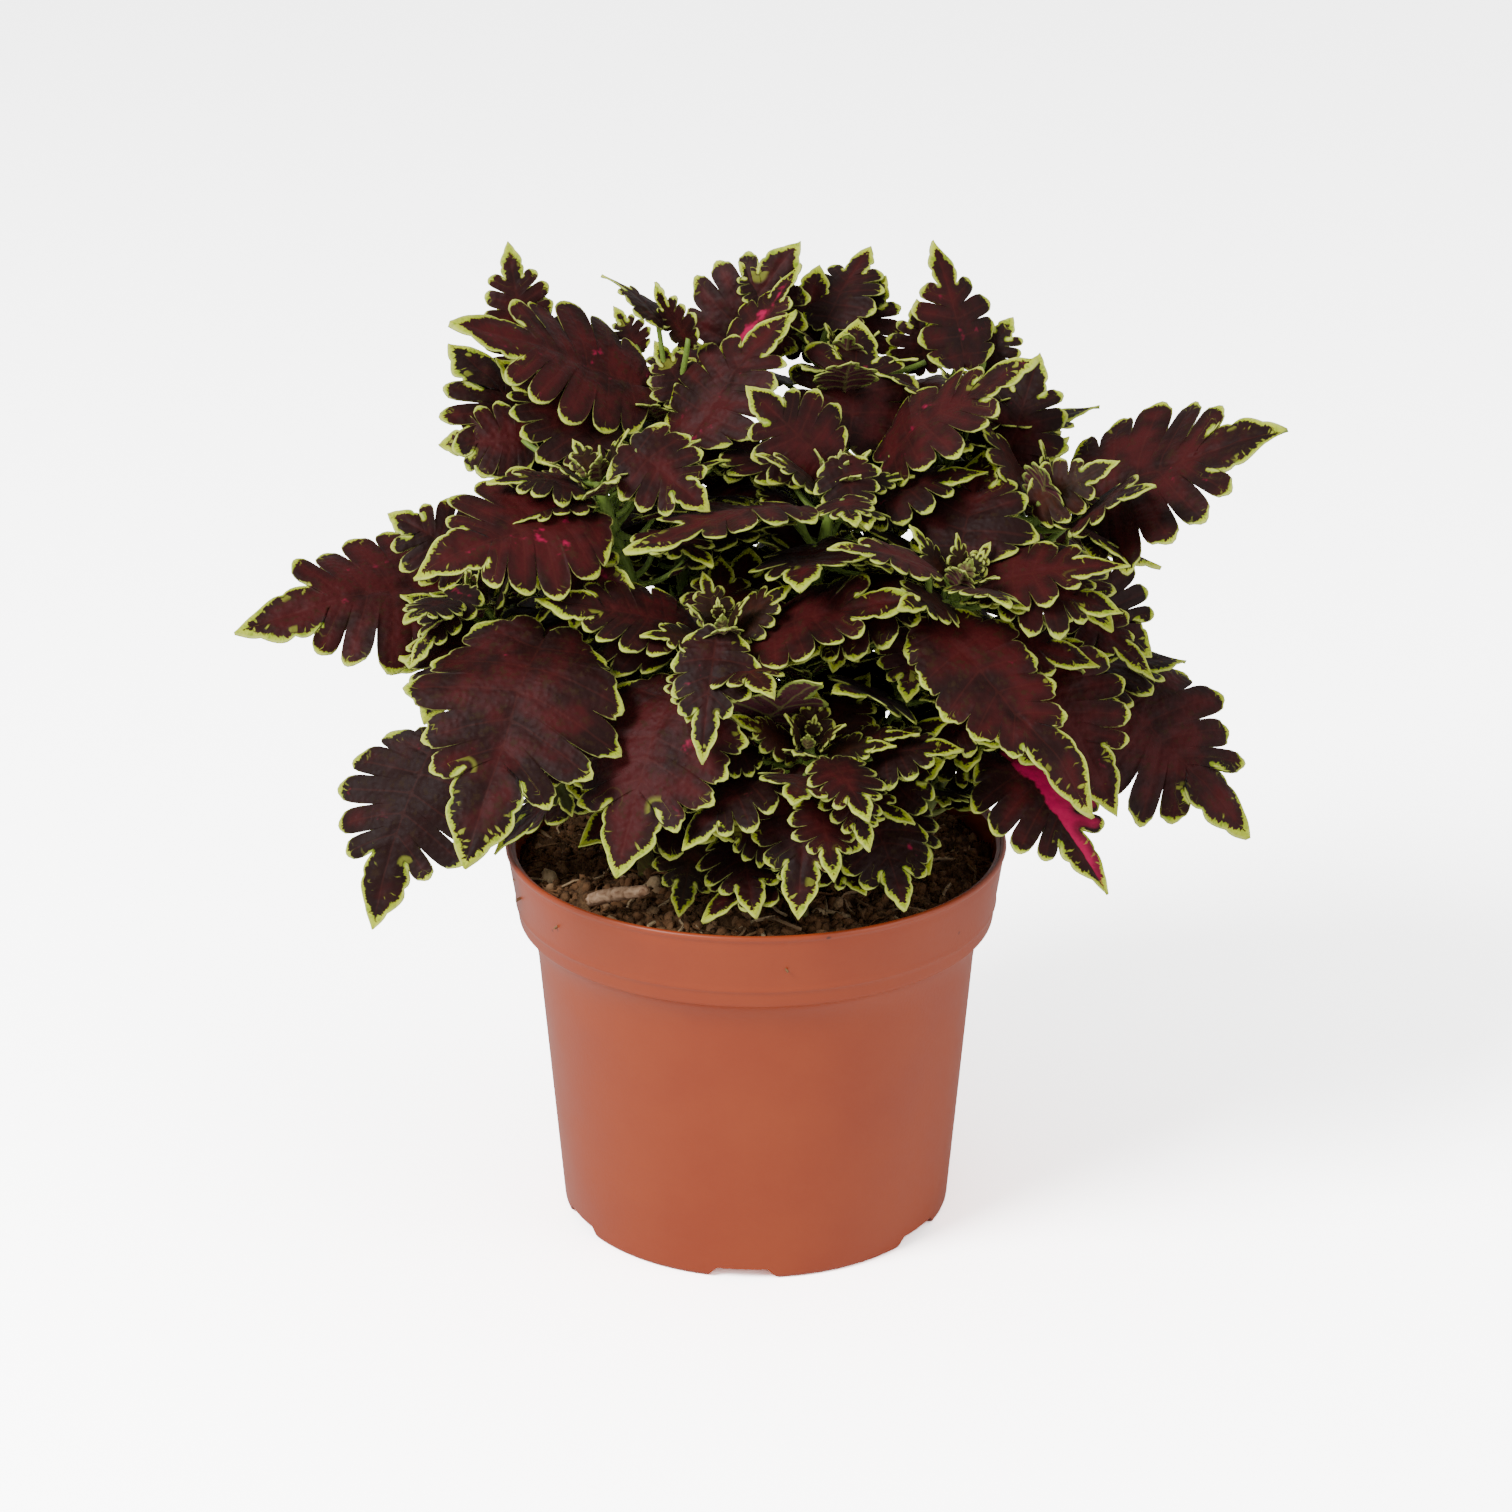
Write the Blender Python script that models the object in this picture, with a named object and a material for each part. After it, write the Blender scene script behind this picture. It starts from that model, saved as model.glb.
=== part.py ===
"""Potted coleus: a moulded plastic nursery pot, its potting mix, an old stem stub,
fourteen square stems and the lobed leaves that grow from them.

Lengths in this file are in millimetres and angles in degrees; MM turns them into metres.
The pot stands on the ground plane, centred on the Z axis, and the plant's fuller side
faces -Y.
"""

from collections import namedtuple
from itertools import product
from math import cos, pi, radians, sin

import bmesh
import bpy
from mathutils import Matrix, Vector
from mathutils.bvhtree import BVHTree

for thing in list(bpy.data.objects):
    bpy.data.objects.remove(thing, do_unlink=True)

MM = 0.001
GAP = 0.3               # air left between two pieces that touch

# Pot: rim band, soft shoulder, tapering wall and a notched foot ring
POT_HEIGHT = 94.4
RIM_RADIUS = 60.0
BAND_HEIGHT = 18.4      # from the rim down to the band's lower edge
BAND_DRAFT = 0.15       # how much the band narrows per mm of height
BAND_EDGE = 0.35        # small step at the band's lower edge
SHOULDER_HEIGHT = 13.0
SHOULDER_STEP = 4.3     # how much the radius drops across the shoulder
WALL_DRAFT = 0.08       # how much the wall narrows per mm of height
WALL = 1.3
LIP_WIDTH = 2.2
LIP_HEIGHT = 2.2
LIP_ROUND = 0.6
FOOT_ROUND = 1.5
FOOT_RING_WIDTH = 3.6
FLOOR_LIFT = 3.2        # underside of the pot's floor above the ground
FLOOR_THICKNESS = 1.4
POT_SEGMENTS = 48

NOTCH_COUNT = 6
NOTCH_FIRST_ANGLE = -94.0
NOTCH_TOP_WIDTH = 12.0
NOTCH_FOOT_WIDTH = 17.0
NOTCH_HEIGHT = 2.7

DRAIN_COUNT = 8
DRAIN_RADIUS = 3.5
DRAIN_FROM_FOOT = 12.5  # middle of a drain hole to the inside of the foot ring

# Potting mix
MIX_BELOW_RIM = 6.0
MIX_LUMP = 0.9
MIX_SEGMENTS = 24
MIX_RINGS = (0.85, 0.62, 0.4, 0.2)

# Old broken stem lying in the mix near the front of the pot
STUB_FROM_WALL = 6.0    # its thick end to the inside of the pot
STUB_BEARING = -139.0
STUB_RUN = (14.0, -7.0, 3.0)
STUB_RADII = (2.6, 2.9, 2.4, 1.7)

# Stems: square, thinner towards the top, ending in a star of young leaves
STEM_ROOT_RADIUS = 2.5
STEM_TOP_RADIUS = 1.4
STEM_SIDE_SHARE = 0.7   # radius at the middle of a flat side over radius at a corner
STEM_SEGMENTS = 5
STEM_BOW = 1.5          # 1 is a straight stem, more stays upright for longer
# Young leaves at a stem's top: (radius at the corners, at the sides, height above the stem)
BUD_RINGS = ((1.8, 1.3, 0.6), (5.6, 2.4, 2.8), (6.0, 2.2, 3.7), (1.8, 1.8, 3.2),
             (2.2, 3.6, 6.4), (1.3, 3.4, 7.2), (0.7, 0.7, 6.0))

# Leaves: blade with lobed sides and a long end lobe, on a short stalk
BLADE_THICKNESS = 0.8
BLADE_HALF_WIDTH = 0.42         # over blade length, at the widest lobe of a width-1 leaf
MIDRIB_SHARE = 0.55             # part of the midrib that carries side lobes
SWEEP_BASE = -15.0
SWEEP_END = 55.0
ENVELOPE = (0.45, 0.85, 1.0, 0.95, 0.82, 0.6)   # reach of the side lobes, base to end lobe
SINUS = (0.2, 0.25, 0.3, 0.38, 0.45, 0.6)       # depth of the cuts between them
LOBE_PHASES = (0.0, 0.28, 0.74)
END_LOBE_STEPS = (0.3, 0.65, 1.0)
END_LOBE_START = 0.62
TIP_HALF_WIDTH = 0.25
PETIOLE_WIDTH = 2.2
PETIOLE_DEPTH = 1.8
FOLD = 0.12                     # how far the two blade halves rise from the midrib
EDGE_DROOP = 0.7                # how far the blade's sides curl down again
SETTLE_ROOM = 0.5               # extra thickness a leaf needs while it finds its place
SETTLE_TURNS = (0, -6, 6, -12, 12, -20, 20, -30, 30, -42, 42)
SETTLE_SLIDES = (0, -3, 3, -6, 6, -10, 10)

Stem = namedtuple("Stem", "root lean height")
STEMS = {
    "a": Stem(root=(-16, -4), lean=(-20, -4), height=96),
    "b": Stem(root=(6, 0), lean=(12, -8), height=95),
    "c": Stem(root=(22, -14), lean=(24, -14), height=78),
    "d": Stem(root=(28, 2), lean=(40, -2), height=90),
    "e": Stem(root=(-4, -22), lean=(-4, -14), height=69),
    "f": Stem(root=(10, -34), lean=(2, -10), height=44),
    "g": Stem(root=(-26, -8), lean=(-38, -2), height=67),
    "h": Stem(root=(-14, 14), lean=(-7, 12), height=103),
    "i": Stem(root=(6, 20), lean=(15, 14), height=112),
    "j": Stem(root=(24, 16), lean=(26, 10), height=104),
    "k": Stem(root=(34, -12), lean=(31, 0), height=55),
    "m": Stem(root=(-4, 32), lean=(-6, 15), height=84),
    "n": Stem(root=(-26, 20), lean=(-30, 18), height=66),
    "p": Stem(root=(20, 30), lean=(30, 14), height=72),
}

# stalk: blade base seen from the stem; heading: 0 is +X and 90 is +Y; climb: above level;
# roll: turn about the leaf's own length; arch: bend from blade base to tip
Turn = namedtuple("Turn", "heading climb roll slide")     # degrees, and mm along the stem
Leaf = namedtuple("Leaf", "name stem at stalk heading climb roll length width arch lobes")
LEAVES = [
    Leaf("left_long", "g", 0.80, (-19, 17, 14), -162, -6, -30, 53, 0.95, 20, 5),
    Leaf("right_long", "d", 0.86, (17, 6, 11), -16, 28, 35, 51, 1.10, 15, 5),
    Leaf("front_left_big", "g", 0.76, (3, -23, 17), -114, -44, -12, 59, 1.05, 28, 5),
    Leaf("front_right_big", "c", 0.82, (1, -12, 11), -37, -38, 24, 58, 0.72, 28, 5),
    Leaf("front_mid", "e", 0.78, (-12, -10, 5), -117, -56, 0, 45, 1.22, 28, 5),
    Leaf("upper_left", "h", 0.88, (-8, -2, 21), -164, 23, -30, 49, 1.00, 18, 5),
    Leaf("a_left", "a", 0.88, (-7, -7, 10), -152, -9, -25, 45, 1.05, 20, 5),
    Leaf("j_front", "j", 0.76, (-11, -19, 21), 3, 34, 14, 42, 0.95, 18, 5),
    Leaf("i_front", "i", 0.76, (6, -17, 16), 85, 44, 0, 34, 1.20, 18, 4),
    Leaf("h_right", "h", 0.82, (4, -15, 19), 38, 42, 14, 40, 0.85, 18, 5),
    Leaf("a_up", "a", 0.92, (-2, 10, 14), 147, 30, -15, 35, 0.95, 18, 5),
    Leaf("c_up", "c", 0.90, (4, 8, 13), 72, 38, 0, 30, 1.20, 16, 4),
    Leaf("b_front", "b", 0.86, (-5, -8, 11), -146, -3, 8, 48, 0.85, 30, 5),
    Leaf("e_right", "e", 0.86, (6, -1, 9), -12, 18, 14, 41, 0.95, 22, 5),
    Leaf("e_left", "e", 0.88, (-8, 0, 12), -177, 14, -14, 36, 0.95, 22, 5),
    Leaf("e_up", "e", 0.86, (2, 6, 14), 80, 36, 0, 24, 1.20, 16, 4),
    Leaf("e_down", "e", 0.91, (-1, -8, 7), -100, -52, 0, 31, 0.75, 24, 4),
    Leaf("f_down", "f", 0.82, (1, -7, 8), -99, -58, 0, 34, 0.95, 26, 4),
    Leaf("f_right", "f", 0.90, (6, 1, 6), -8, 12, 10, 20, 0.80, 20, 4),
    Leaf("c_right", "c", 0.88, (11, 0, 13), -7, 4, 10, 34, 0.90, 18, 4),
    Leaf("c_left", "c", 0.92, (-3, -8, 13), -161, 18, -8, 27, 0.80, 18, 4),
    Leaf("k_far", "k", 0.86, (23, 6, 0), -27, -43, 22, 50, 1.10, 22, 5),
    Leaf("k_mid", "k", 0.84, (5, -8, 13), -51, -42, 20, 44, 0.95, 24, 5),
    Leaf("k_low", "k", 0.66, (8, -14, 4), -48, -43, 0, 42, 0.90, 22, 5),
    Leaf("k_side", "k", 0.92, (10, 10, 17), -39, -30, 10, 31, 0.70, 22, 4),
    Leaf("left_low", "g", 0.64, (-30, -5, -8), -134, -60, -20, 46, 0.95, 24, 5),
    Leaf("g_low", "g", 0.92, (-4, -6, 9), -135, -36, 0, 24, 0.75, 22, 4),
    Leaf("a_side", "a", 0.82, (-15, 17, 16), 142, 38, -10, 42, 1.10, 18, 5),
    Leaf("upper_back_left", "h", 0.84, (-32, 11, 26), 128, 64, 0, 33, 0.90, 16, 4),
    Leaf("top_mid", "i", 0.84, (-22, -3, 26), 34, 46, 0, 28, 0.85, 18, 4),
    Leaf("top_back", "i", 0.90, (-2, 10, 21), 56, 34, 0, 26, 1.00, 18, 4),
    Leaf("top_right", "j", 0.88, (4, 8, 23), 121, 61, 0, 31, 0.85, 18, 4),
    Leaf("d_up", "d", 0.84, (0, 12, 19), 61, 52, 10, 30, 1.00, 18, 4),
    Leaf("low_right", "f", 0.50, (15, -2, 6), -65, -39, 0, 26, 1.10, 22, 4),
    Leaf("m_left", "m", 0.90, (-7, 5, 5), 156, -8, 0, 46, 0.95, 24, 5),
    Leaf("m_right", "m", 0.84, (9, 2, 4), 30, -12, 0, 46, 0.95, 26, 5),
    Leaf("m_low", "m", 0.66, (0, 10, 2), 92, -64, 0, 46, 1.00, 28, 5),
    Leaf("n_left", "n", 0.90, (-8, 3, 4), 172, -18, 0, 50, 0.90, 24, 5),
    Leaf("n_back", "n", 0.82, (-3, 9, 4), 112, -54, 0, 48, 1.00, 28, 5),
    Leaf("n_low", "n", 0.62, (-9, 4, 1), 162, -52, 0, 46, 0.95, 26, 5),
    Leaf("p_right", "p", 0.90, (8, 2, 4), 14, -16, 0, 50, 0.90, 24, 5),
    Leaf("p_back", "p", 0.82, (3, 8, 4), 70, -60, 0, 47, 1.00, 28, 5),
    Leaf("p_low", "p", 0.62, (9, 3, 1), 18, -52, 0, 46, 0.95, 26, 5),
]


def material(name, colour, roughness):
    made = bpy.data.materials.new(name)
    made.use_nodes = True
    shader = made.node_tree.nodes["Principled BSDF"]
    shader.inputs["Base Color"].default_value = (*colour, 1.0)
    shader.inputs["Roughness"].default_value = roughness
    shader.inputs["Metallic"].default_value = 0.0
    return made


TERRACOTTA_PLASTIC = material("terracotta_plastic", (0.43, 0.115, 0.05), 0.42)
POTTING_MIX = material("potting_mix", (0.035, 0.018, 0.011), 0.95)
OLD_WOOD = material("old_wood", (0.26, 0.16, 0.10), 0.85)
GREEN_STEM = material("green_stem", (0.16, 0.27, 0.05), 0.55)
LEAF_MAROON = material("leaf_maroon", (0.055, 0.008, 0.014), 0.6)


def add_object(name, mesh, used_material):
    """Finish a mesh as one named object with its faces turned outwards."""
    mesh.transform(Matrix.Scale(MM, 4))
    mesh.materials.append(used_material)
    made = bpy.data.objects.new(name, mesh)
    bpy.context.scene.collection.objects.link(made)
    return made


def skin(name, rings):
    """Mesh a tube through rings with equally many points, closed at both ends."""
    shape = bmesh.new()
    rows = [[shape.verts.new(point) for point in ring] for ring in rings]
    count = len(rings[0])
    for low, high in zip(rows, rows[1:]):
        for i in range(count):
            j = (i + 1) % count
            shape.faces.new((low[i], low[j], high[j], high[i]))
    shape.faces.new(rows[0])
    shape.faces.new(rows[-1])
    bmesh.ops.triangulate(shape, faces=shape.faces)
    bmesh.ops.recalc_face_normals(shape, faces=shape.faces)
    mesh = bpy.data.meshes.new(name)
    shape.to_mesh(mesh)
    shape.free()
    return mesh


def lathe(name, profile, segments):
    """Turn a closed (radius, height) profile about Z; its first and last points are on the axis."""
    shape = bmesh.new()
    bottom = shape.verts.new((0, 0, profile[0][1]))
    top = shape.verts.new((0, 0, profile[-1][1]))
    angles = [2 * pi * i / segments for i in range(segments)]
    rows = [[shape.verts.new((r * cos(a), r * sin(a), z)) for a in angles] for r, z in profile[1:-1]]
    for i in range(segments):
        j = (i + 1) % segments
        shape.faces.new((bottom, rows[0][j], rows[0][i]))
        shape.faces.new((top, rows[-1][i], rows[-1][j]))
        for low, high in zip(rows, rows[1:]):
            shape.faces.new((low[i], low[j], high[j], high[i]))
    bmesh.ops.recalc_face_normals(shape, faces=shape.faces)
    mesh = bpy.data.meshes.new(name)
    shape.to_mesh(mesh)
    shape.free()
    return mesh


# ---- Pot ----

BAND_FOOT = POT_HEIGHT - BAND_HEIGHT
SHOULDER_FOOT = BAND_FOOT - SHOULDER_HEIGHT
BAND_FOOT_RADIUS = RIM_RADIUS - BAND_DRAFT * BAND_HEIGHT - BAND_EDGE
SHOULDER_FOOT_RADIUS = BAND_FOOT_RADIUS - SHOULDER_STEP
FLOOR_TOP = FLOOR_LIFT + FLOOR_THICKNESS
FOOT_OUTER = SHOULDER_FOOT_RADIUS - WALL_DRAFT * SHOULDER_FOOT - FOOT_ROUND
FOOT_INNER = FOOT_OUTER - FOOT_RING_WIDTH


def outer_radius(height):
    """Radius of the pot's outer face at a height above the ground."""
    if height >= BAND_FOOT:
        return RIM_RADIUS - BAND_DRAFT * (POT_HEIGHT - height)
    if height <= SHOULDER_FOOT:
        return SHOULDER_FOOT_RADIUS - WALL_DRAFT * (SHOULDER_FOOT - height)
    share = (height - SHOULDER_FOOT) / SHOULDER_HEIGHT
    return SHOULDER_FOOT_RADIUS + SHOULDER_STEP * share * share * (3 - 2 * share)


def shoulder_heights(parts=4):
    return [SHOULDER_FOOT + SHOULDER_HEIGHT * i / parts for i in range(parts)]


def pot_profile():
    lip_foot = POT_HEIGHT - LIP_HEIGHT
    arc = [radians(a) for a in (30, 60, 90)]
    profile = [(0, FLOOR_LIFT), (FOOT_INNER, FLOOR_LIFT), (FOOT_INNER, 0), (FOOT_OUTER, 0)]
    profile += [(FOOT_OUTER + FOOT_ROUND * sin(a), FOOT_ROUND * (1 - cos(a))) for a in arc]
    profile += [(outer_radius(z), z) for z in shoulder_heights()]
    profile += [(BAND_FOOT_RADIUS, BAND_FOOT - BAND_EDGE), (outer_radius(BAND_FOOT), BAND_FOOT)]
    profile += [(RIM_RADIUS - LIP_ROUND * (1 - cos(a)), POT_HEIGHT - LIP_ROUND * (1 - sin(a)))
                for a in (0, radians(45), radians(90))]
    profile += [(RIM_RADIUS - LIP_WIDTH, POT_HEIGHT), (RIM_RADIUS - LIP_WIDTH, lip_foot)]
    profile += [(outer_radius(lip_foot - 1) - WALL, lip_foot - 1)]
    profile += [(outer_radius(BAND_FOOT) - WALL, BAND_FOOT)]
    profile += [(outer_radius(z) - WALL, z) for z in reversed(shoulder_heights())]
    profile += [(outer_radius(FLOOR_TOP) - WALL, FLOOR_TOP), (0, FLOOR_TOP)]
    return profile


def notch_cutter():
    """Six trapezoid wedges that cut through the foot ring."""
    shape = bmesh.new()
    inner = FOOT_INNER - 2
    outer = FOOT_OUTER + FOOT_ROUND + 2
    for i in range(NOTCH_COUNT):
        turn = Matrix.Rotation(radians(NOTCH_FIRST_ANGLE + i * 360 / NOTCH_COUNT), 4, "Z")
        corners = []
        for radius in (inner, outer):
            half_foot = NOTCH_FOOT_WIDTH / 2
            half_top = NOTCH_TOP_WIDTH / 2
            slope = (half_foot - half_top) / NOTCH_HEIGHT
            corners.append([shape.verts.new(turn @ Vector(p)) for p in (
                (radius, -half_foot - slope, -1), (radius, half_foot + slope, -1),
                (radius, half_top, NOTCH_HEIGHT), (radius, -half_top, NOTCH_HEIGHT))])
        near, far = corners
        shape.faces.new(near)
        shape.faces.new(far)
        for k in range(4):
            n = (k + 1) % 4
            shape.faces.new((near[k], near[n], far[n], far[k]))
    return shape


def drain_cutter():
    """Round drain holes in a ring, and one in the middle."""
    shape = bmesh.new()
    centres = [(0.0, 0.0)]
    ring = FOOT_INNER - DRAIN_FROM_FOOT
    for i in range(DRAIN_COUNT):
        a = 2 * pi * (i + 0.5) / DRAIN_COUNT
        centres.append((ring * cos(a), ring * sin(a)))
    for x, y in centres:
        place = Matrix.Translation((x, y, (FLOOR_LIFT + FLOOR_TOP) / 2))
        bmesh.ops.create_cone(shape, cap_ends=True, segments=12, radius1=DRAIN_RADIUS,
                              radius2=DRAIN_RADIUS, depth=FLOOR_THICKNESS + 2, matrix=place)
    return shape


def cut(target, name, shape):
    bmesh.ops.recalc_face_normals(shape, faces=shape.faces)
    mesh = bpy.data.meshes.new(name)
    shape.to_mesh(mesh)
    shape.free()
    cutter = add_object(name, mesh, TERRACOTTA_PLASTIC)
    cutter.hide_render = True
    cutter.display_type = "WIRE"
    modifier = target.modifiers.new(name, "BOOLEAN")
    modifier.operation = "DIFFERENCE"
    modifier.solver = "EXACT"
    modifier.object = cutter


def make_pot():
    pot = add_object("pot", lathe("pot", pot_profile(), POT_SEGMENTS), TERRACOTTA_PLASTIC)
    cut(pot, "notch_cutter", notch_cutter())
    cut(pot, "drain_cutter", drain_cutter())


# ---- Potting mix ----

MIX_TOP = POT_HEIGHT - MIX_BELOW_RIM
MIX_RADIUS = outer_radius(MIX_TOP) - WALL - GAP


def mix_height(x, y):
    """Height of the mix, gently lumpy."""
    lumps = sin(x / 7.1 + 1.3) * cos(y / 6.3) + 0.6 * sin((x - y) / 4.7)
    return MIX_TOP + MIX_LUMP * lumps / 1.6


def make_mix():
    shape = bmesh.new()
    angles = [2 * pi * i / MIX_SEGMENTS for i in range(MIX_SEGMENTS)]
    clear = WALL + GAP
    heights = [FLOOR_TOP + GAP] + shoulder_heights() + [BAND_FOOT]
    rows = [[shape.verts.new(((outer_radius(z) - clear) * cos(a), (outer_radius(z) - clear) * sin(a), z))
             for a in angles] for z in heights]
    for share in (1.0,) + MIX_RINGS:
        radius = MIX_RADIUS * share
        places = [(radius * cos(a), radius * sin(a)) for a in angles]
        level = 0.0 if share < 1.0 else MIX_TOP
        rows.append([shape.verts.new((x, y, level or mix_height(x, y))) for x, y in places])
    for low, high in zip(rows, rows[1:]):
        for i in range(MIX_SEGMENTS):
            j = (i + 1) % MIX_SEGMENTS
            shape.faces.new((low[i], low[j], high[j], high[i]))
    middle = shape.verts.new((0, 0, mix_height(0, 0)))
    for i in range(MIX_SEGMENTS):
        shape.faces.new((rows[-1][i], rows[-1][(i + 1) % MIX_SEGMENTS], middle))
    shape.faces.new(rows[0])
    bmesh.ops.triangulate(shape, faces=shape.faces)
    bmesh.ops.recalc_face_normals(shape, faces=shape.faces)
    mesh = bpy.data.meshes.new("potting_mix")
    shape.to_mesh(mesh)
    shape.free()
    return mesh


def tree_of(mesh):
    points = [v.co.copy() for v in mesh.vertices]
    faces = [tuple(p.vertices) for p in mesh.polygons]
    return BVHTree.FromPolygons(points, faces)


class Ground:
    """The surface of the mix, for pieces that stand on it."""

    def __init__(self, mesh):
        self.tree = tree_of(mesh)

    def at(self, x, y):
        hit = self.tree.ray_cast(Vector((x, y, MIX_TOP + 50)), Vector((0, 0, -1)))
        return hit[0].z


# ---- Stems ----

def across(direction):
    """Two unit vectors square to a direction, the first one level."""
    side = direction.cross(Vector((0, 0, 1)))
    if side.length < 0.05:
        side = Vector((0, -1, 0))
    side.normalize()
    return side, side.cross(direction).normalized()


def stem_point(stem, share):
    bow = share ** STEM_BOW
    return Vector((stem.root[0] + stem.lean[0] * bow, stem.root[1] + stem.lean[1] * bow,
                   MIX_TOP + stem.height * share))


def stem_direction(stem, share):
    low = stem_point(stem, max(share - 0.04, 0.0))
    high = stem_point(stem, share + 0.04)
    return (high - low).normalized()


def stem_radius(share):
    return STEM_ROOT_RADIUS + (STEM_TOP_RADIUS - STEM_ROOT_RADIUS) * share


def star_ring(centre, direction, corner, side):
    """Eight points around a centre: four corners and the four flats between them."""
    u, v = across(direction)
    ring = []
    for i in range(8):
        a = 2 * pi * (i + 0.5) / 8
        radius = corner if i % 2 == 0 else side
        ring.append(centre + u * (radius * cos(a)) + v * (radius * sin(a)))
    return ring


def make_stem(name, stem, ground):
    rings = []
    for i in range(STEM_SEGMENTS + 1):
        share = i / STEM_SEGMENTS
        radius = stem_radius(share)
        direction = stem_direction(stem, share)
        rings.append(star_ring(stem_point(stem, share), direction, radius, radius * STEM_SIDE_SHARE))
    for point in rings[0]:
        point.z = ground.at(point.x, point.y) + GAP
    top = stem_point(stem, 1.0)
    direction = stem_direction(stem, 1.0)
    for corner, side, rise in BUD_RINGS:
        rings.append(star_ring(top + direction * rise, direction, corner, side))
    return skin(name, rings)


def make_stub(ground):
    """A short woody stump that lies half out of the mix."""
    reach = MIX_RADIUS - STUB_FROM_WALL
    start = Vector((reach * cos(radians(STUB_BEARING)), reach * sin(radians(STUB_BEARING)), 0))
    start.z = ground.at(start.x, start.y) + max(STUB_RADII) + 2 * GAP
    end = start + Vector(STUB_RUN)
    direction = (end - start).normalized()
    rings = []
    for i, radius in enumerate(STUB_RADII):
        centre = start.lerp(end, i / (len(STUB_RADII) - 1))
        rings.append(star_ring(centre, direction, radius, radius * 0.9))
    return skin("old_stem_stub", rings)


# ---- Leaves ----

def blend(values, share):
    """Read a row of evenly spaced values at a share from 0 to 1."""
    place = min(max(share, 0.0), 1.0) * (len(values) - 1)
    low = min(int(place), len(values) - 2)
    return values[low] + (values[low + 1] - values[low]) * (place - low)


def side_edge(leaf, share):
    """Midrib height and edge point (x, y) of the lobed part, on a unit-length blade."""
    phase = share * leaf.lobes % 1.0
    bulge = (1 - abs(2 * phase - 1) ** 2.6) ** 0.5
    depth = blend(SINUS, share)
    reach = BLADE_HALF_WIDTH * leaf.width * blend(ENVELOPE, share) * (1 - depth * (1 - bulge))
    sweep = radians(SWEEP_BASE + (SWEEP_END - SWEEP_BASE) * share)
    start = MIDRIB_SHARE * share
    return start, reach * cos(sweep), start + reach * sin(sweep)


def end_edge(leaf, share):
    """The same for the long end lobe."""
    half = (0.06 + 0.16 * share ** 0.7) * (1 - share ** 2) ** 0.8 * leaf.width
    start = MIDRIB_SHARE + (1 - MIDRIB_SHARE) * share
    return start, half, END_LOBE_START + (1 - END_LOBE_START) * share


def blade_rows(leaf):
    shares = [(lobe + phase) / leaf.lobes for lobe in range(leaf.lobes) for phase in LOBE_PHASES]
    rows = [side_edge(leaf, share) for share in shares]
    return rows + [end_edge(leaf, share) for share in (0.0,) + END_LOBE_STEPS]


def blade_axes(leaf, turn):
    """Side, forward and upward axes of a blade, after a small turn."""
    heading = radians(leaf.heading + turn.heading)
    climb = radians(leaf.climb + turn.climb)
    forward = Vector((cos(heading) * cos(climb), sin(heading) * cos(climb), sin(climb)))
    side = Vector((sin(heading), -cos(heading), 0))
    spin = Matrix.Rotation(radians(leaf.roll + turn.roll), 3, forward)
    side = spin @ side
    return side, forward, side.cross(forward)


def on_blade(leaf, axes, base, x, y, lift):
    """Place a flat blade point (x, y), lifted off the surface, on the arched blade."""
    side, forward, up = axes
    arch = radians(leaf.arch)
    bend_radius = leaf.length / arch
    angle = arch / 2 - arch * y / leaf.length
    along = bend_radius * (sin(arch / 2) - sin(angle))
    rise = bend_radius * (cos(angle) - cos(arch / 2))
    normal = up * cos(angle) - forward * sin(angle)
    height = FOLD * abs(x) - EDGE_DROOP * x * x / leaf.length + lift
    return base + side * x + forward * along + up * rise + normal * height


def leaf_rings(leaf, turn, room):
    """Six-point rings from the stalk's root to the blade's tip."""
    stem = STEMS[leaf.stem]
    axes = blade_axes(leaf, turn)
    side, forward, up = axes
    at = leaf.at + turn.slide / stem.height
    joint = stem_point(stem, at)
    base = joint + Vector(leaf.stalk)
    axis = stem_direction(stem, at)
    outward = (base - joint - axis * axis.dot(base - joint)).normalized()
    root = joint + outward * (stem_radius(at) + GAP + room * 0.4)
    arch = radians(leaf.arch / 2)
    tangent = forward * cos(arch) + up * sin(arch)
    collar = base - tangent * 1.5
    bend = root + outward * ((collar - root).length * 0.4)
    half_width = PETIOLE_WIDTH / 2 + room / 2
    half_depth = PETIOLE_DEPTH / 2 + room / 2
    rings = []
    for share in (0.0, 0.5, 1.0):
        centre = root.lerp(bend, share).lerp(bend.lerp(collar, share), share)
        direction = (bend - root).lerp(collar - bend, share).normalized()
        if share == 1.0:
            direction = tangent
        level = (side - direction * side.dot(direction)).normalized()
        above = level.cross(direction)
        low = above * -half_depth
        high = above * half_depth
        wide = level * half_width
        rings.append([centre - wide + low, centre + low, centre + wide + low,
                      centre + wide + high, centre + high, centre - wide + high])
    half = (BLADE_THICKNESS + room) / 2
    for start, reach, along in blade_rows(leaf):
        x = max(reach * leaf.length, TIP_HALF_WIDTH) + room / 2
        y = along * leaf.length
        mid = start * leaf.length
        places = ((-x, y, -half), (0, mid, -half), (x, y, -half), (x, y, half), (0, mid, half), (-x, y, half))
        rings.append([on_blade(leaf, axes, base, *place) for place in places])
    return rings


class Crowd:
    """Everything placed so far, for finding each new leaf a clear place."""

    def __init__(self):
        self.points = []
        self.faces = []
        self.tree = None

    def add(self, mesh):
        start = len(self.points)
        self.points += [v.co.copy() for v in mesh.vertices]
        self.faces += [tuple(start + k for k in p.vertices) for p in mesh.polygons]
        self.tree = BVHTree.FromPolygons(self.points, self.faces)

    def touches(self, mesh):
        return bool(self.tree.overlap(tree_of(mesh)))


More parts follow.
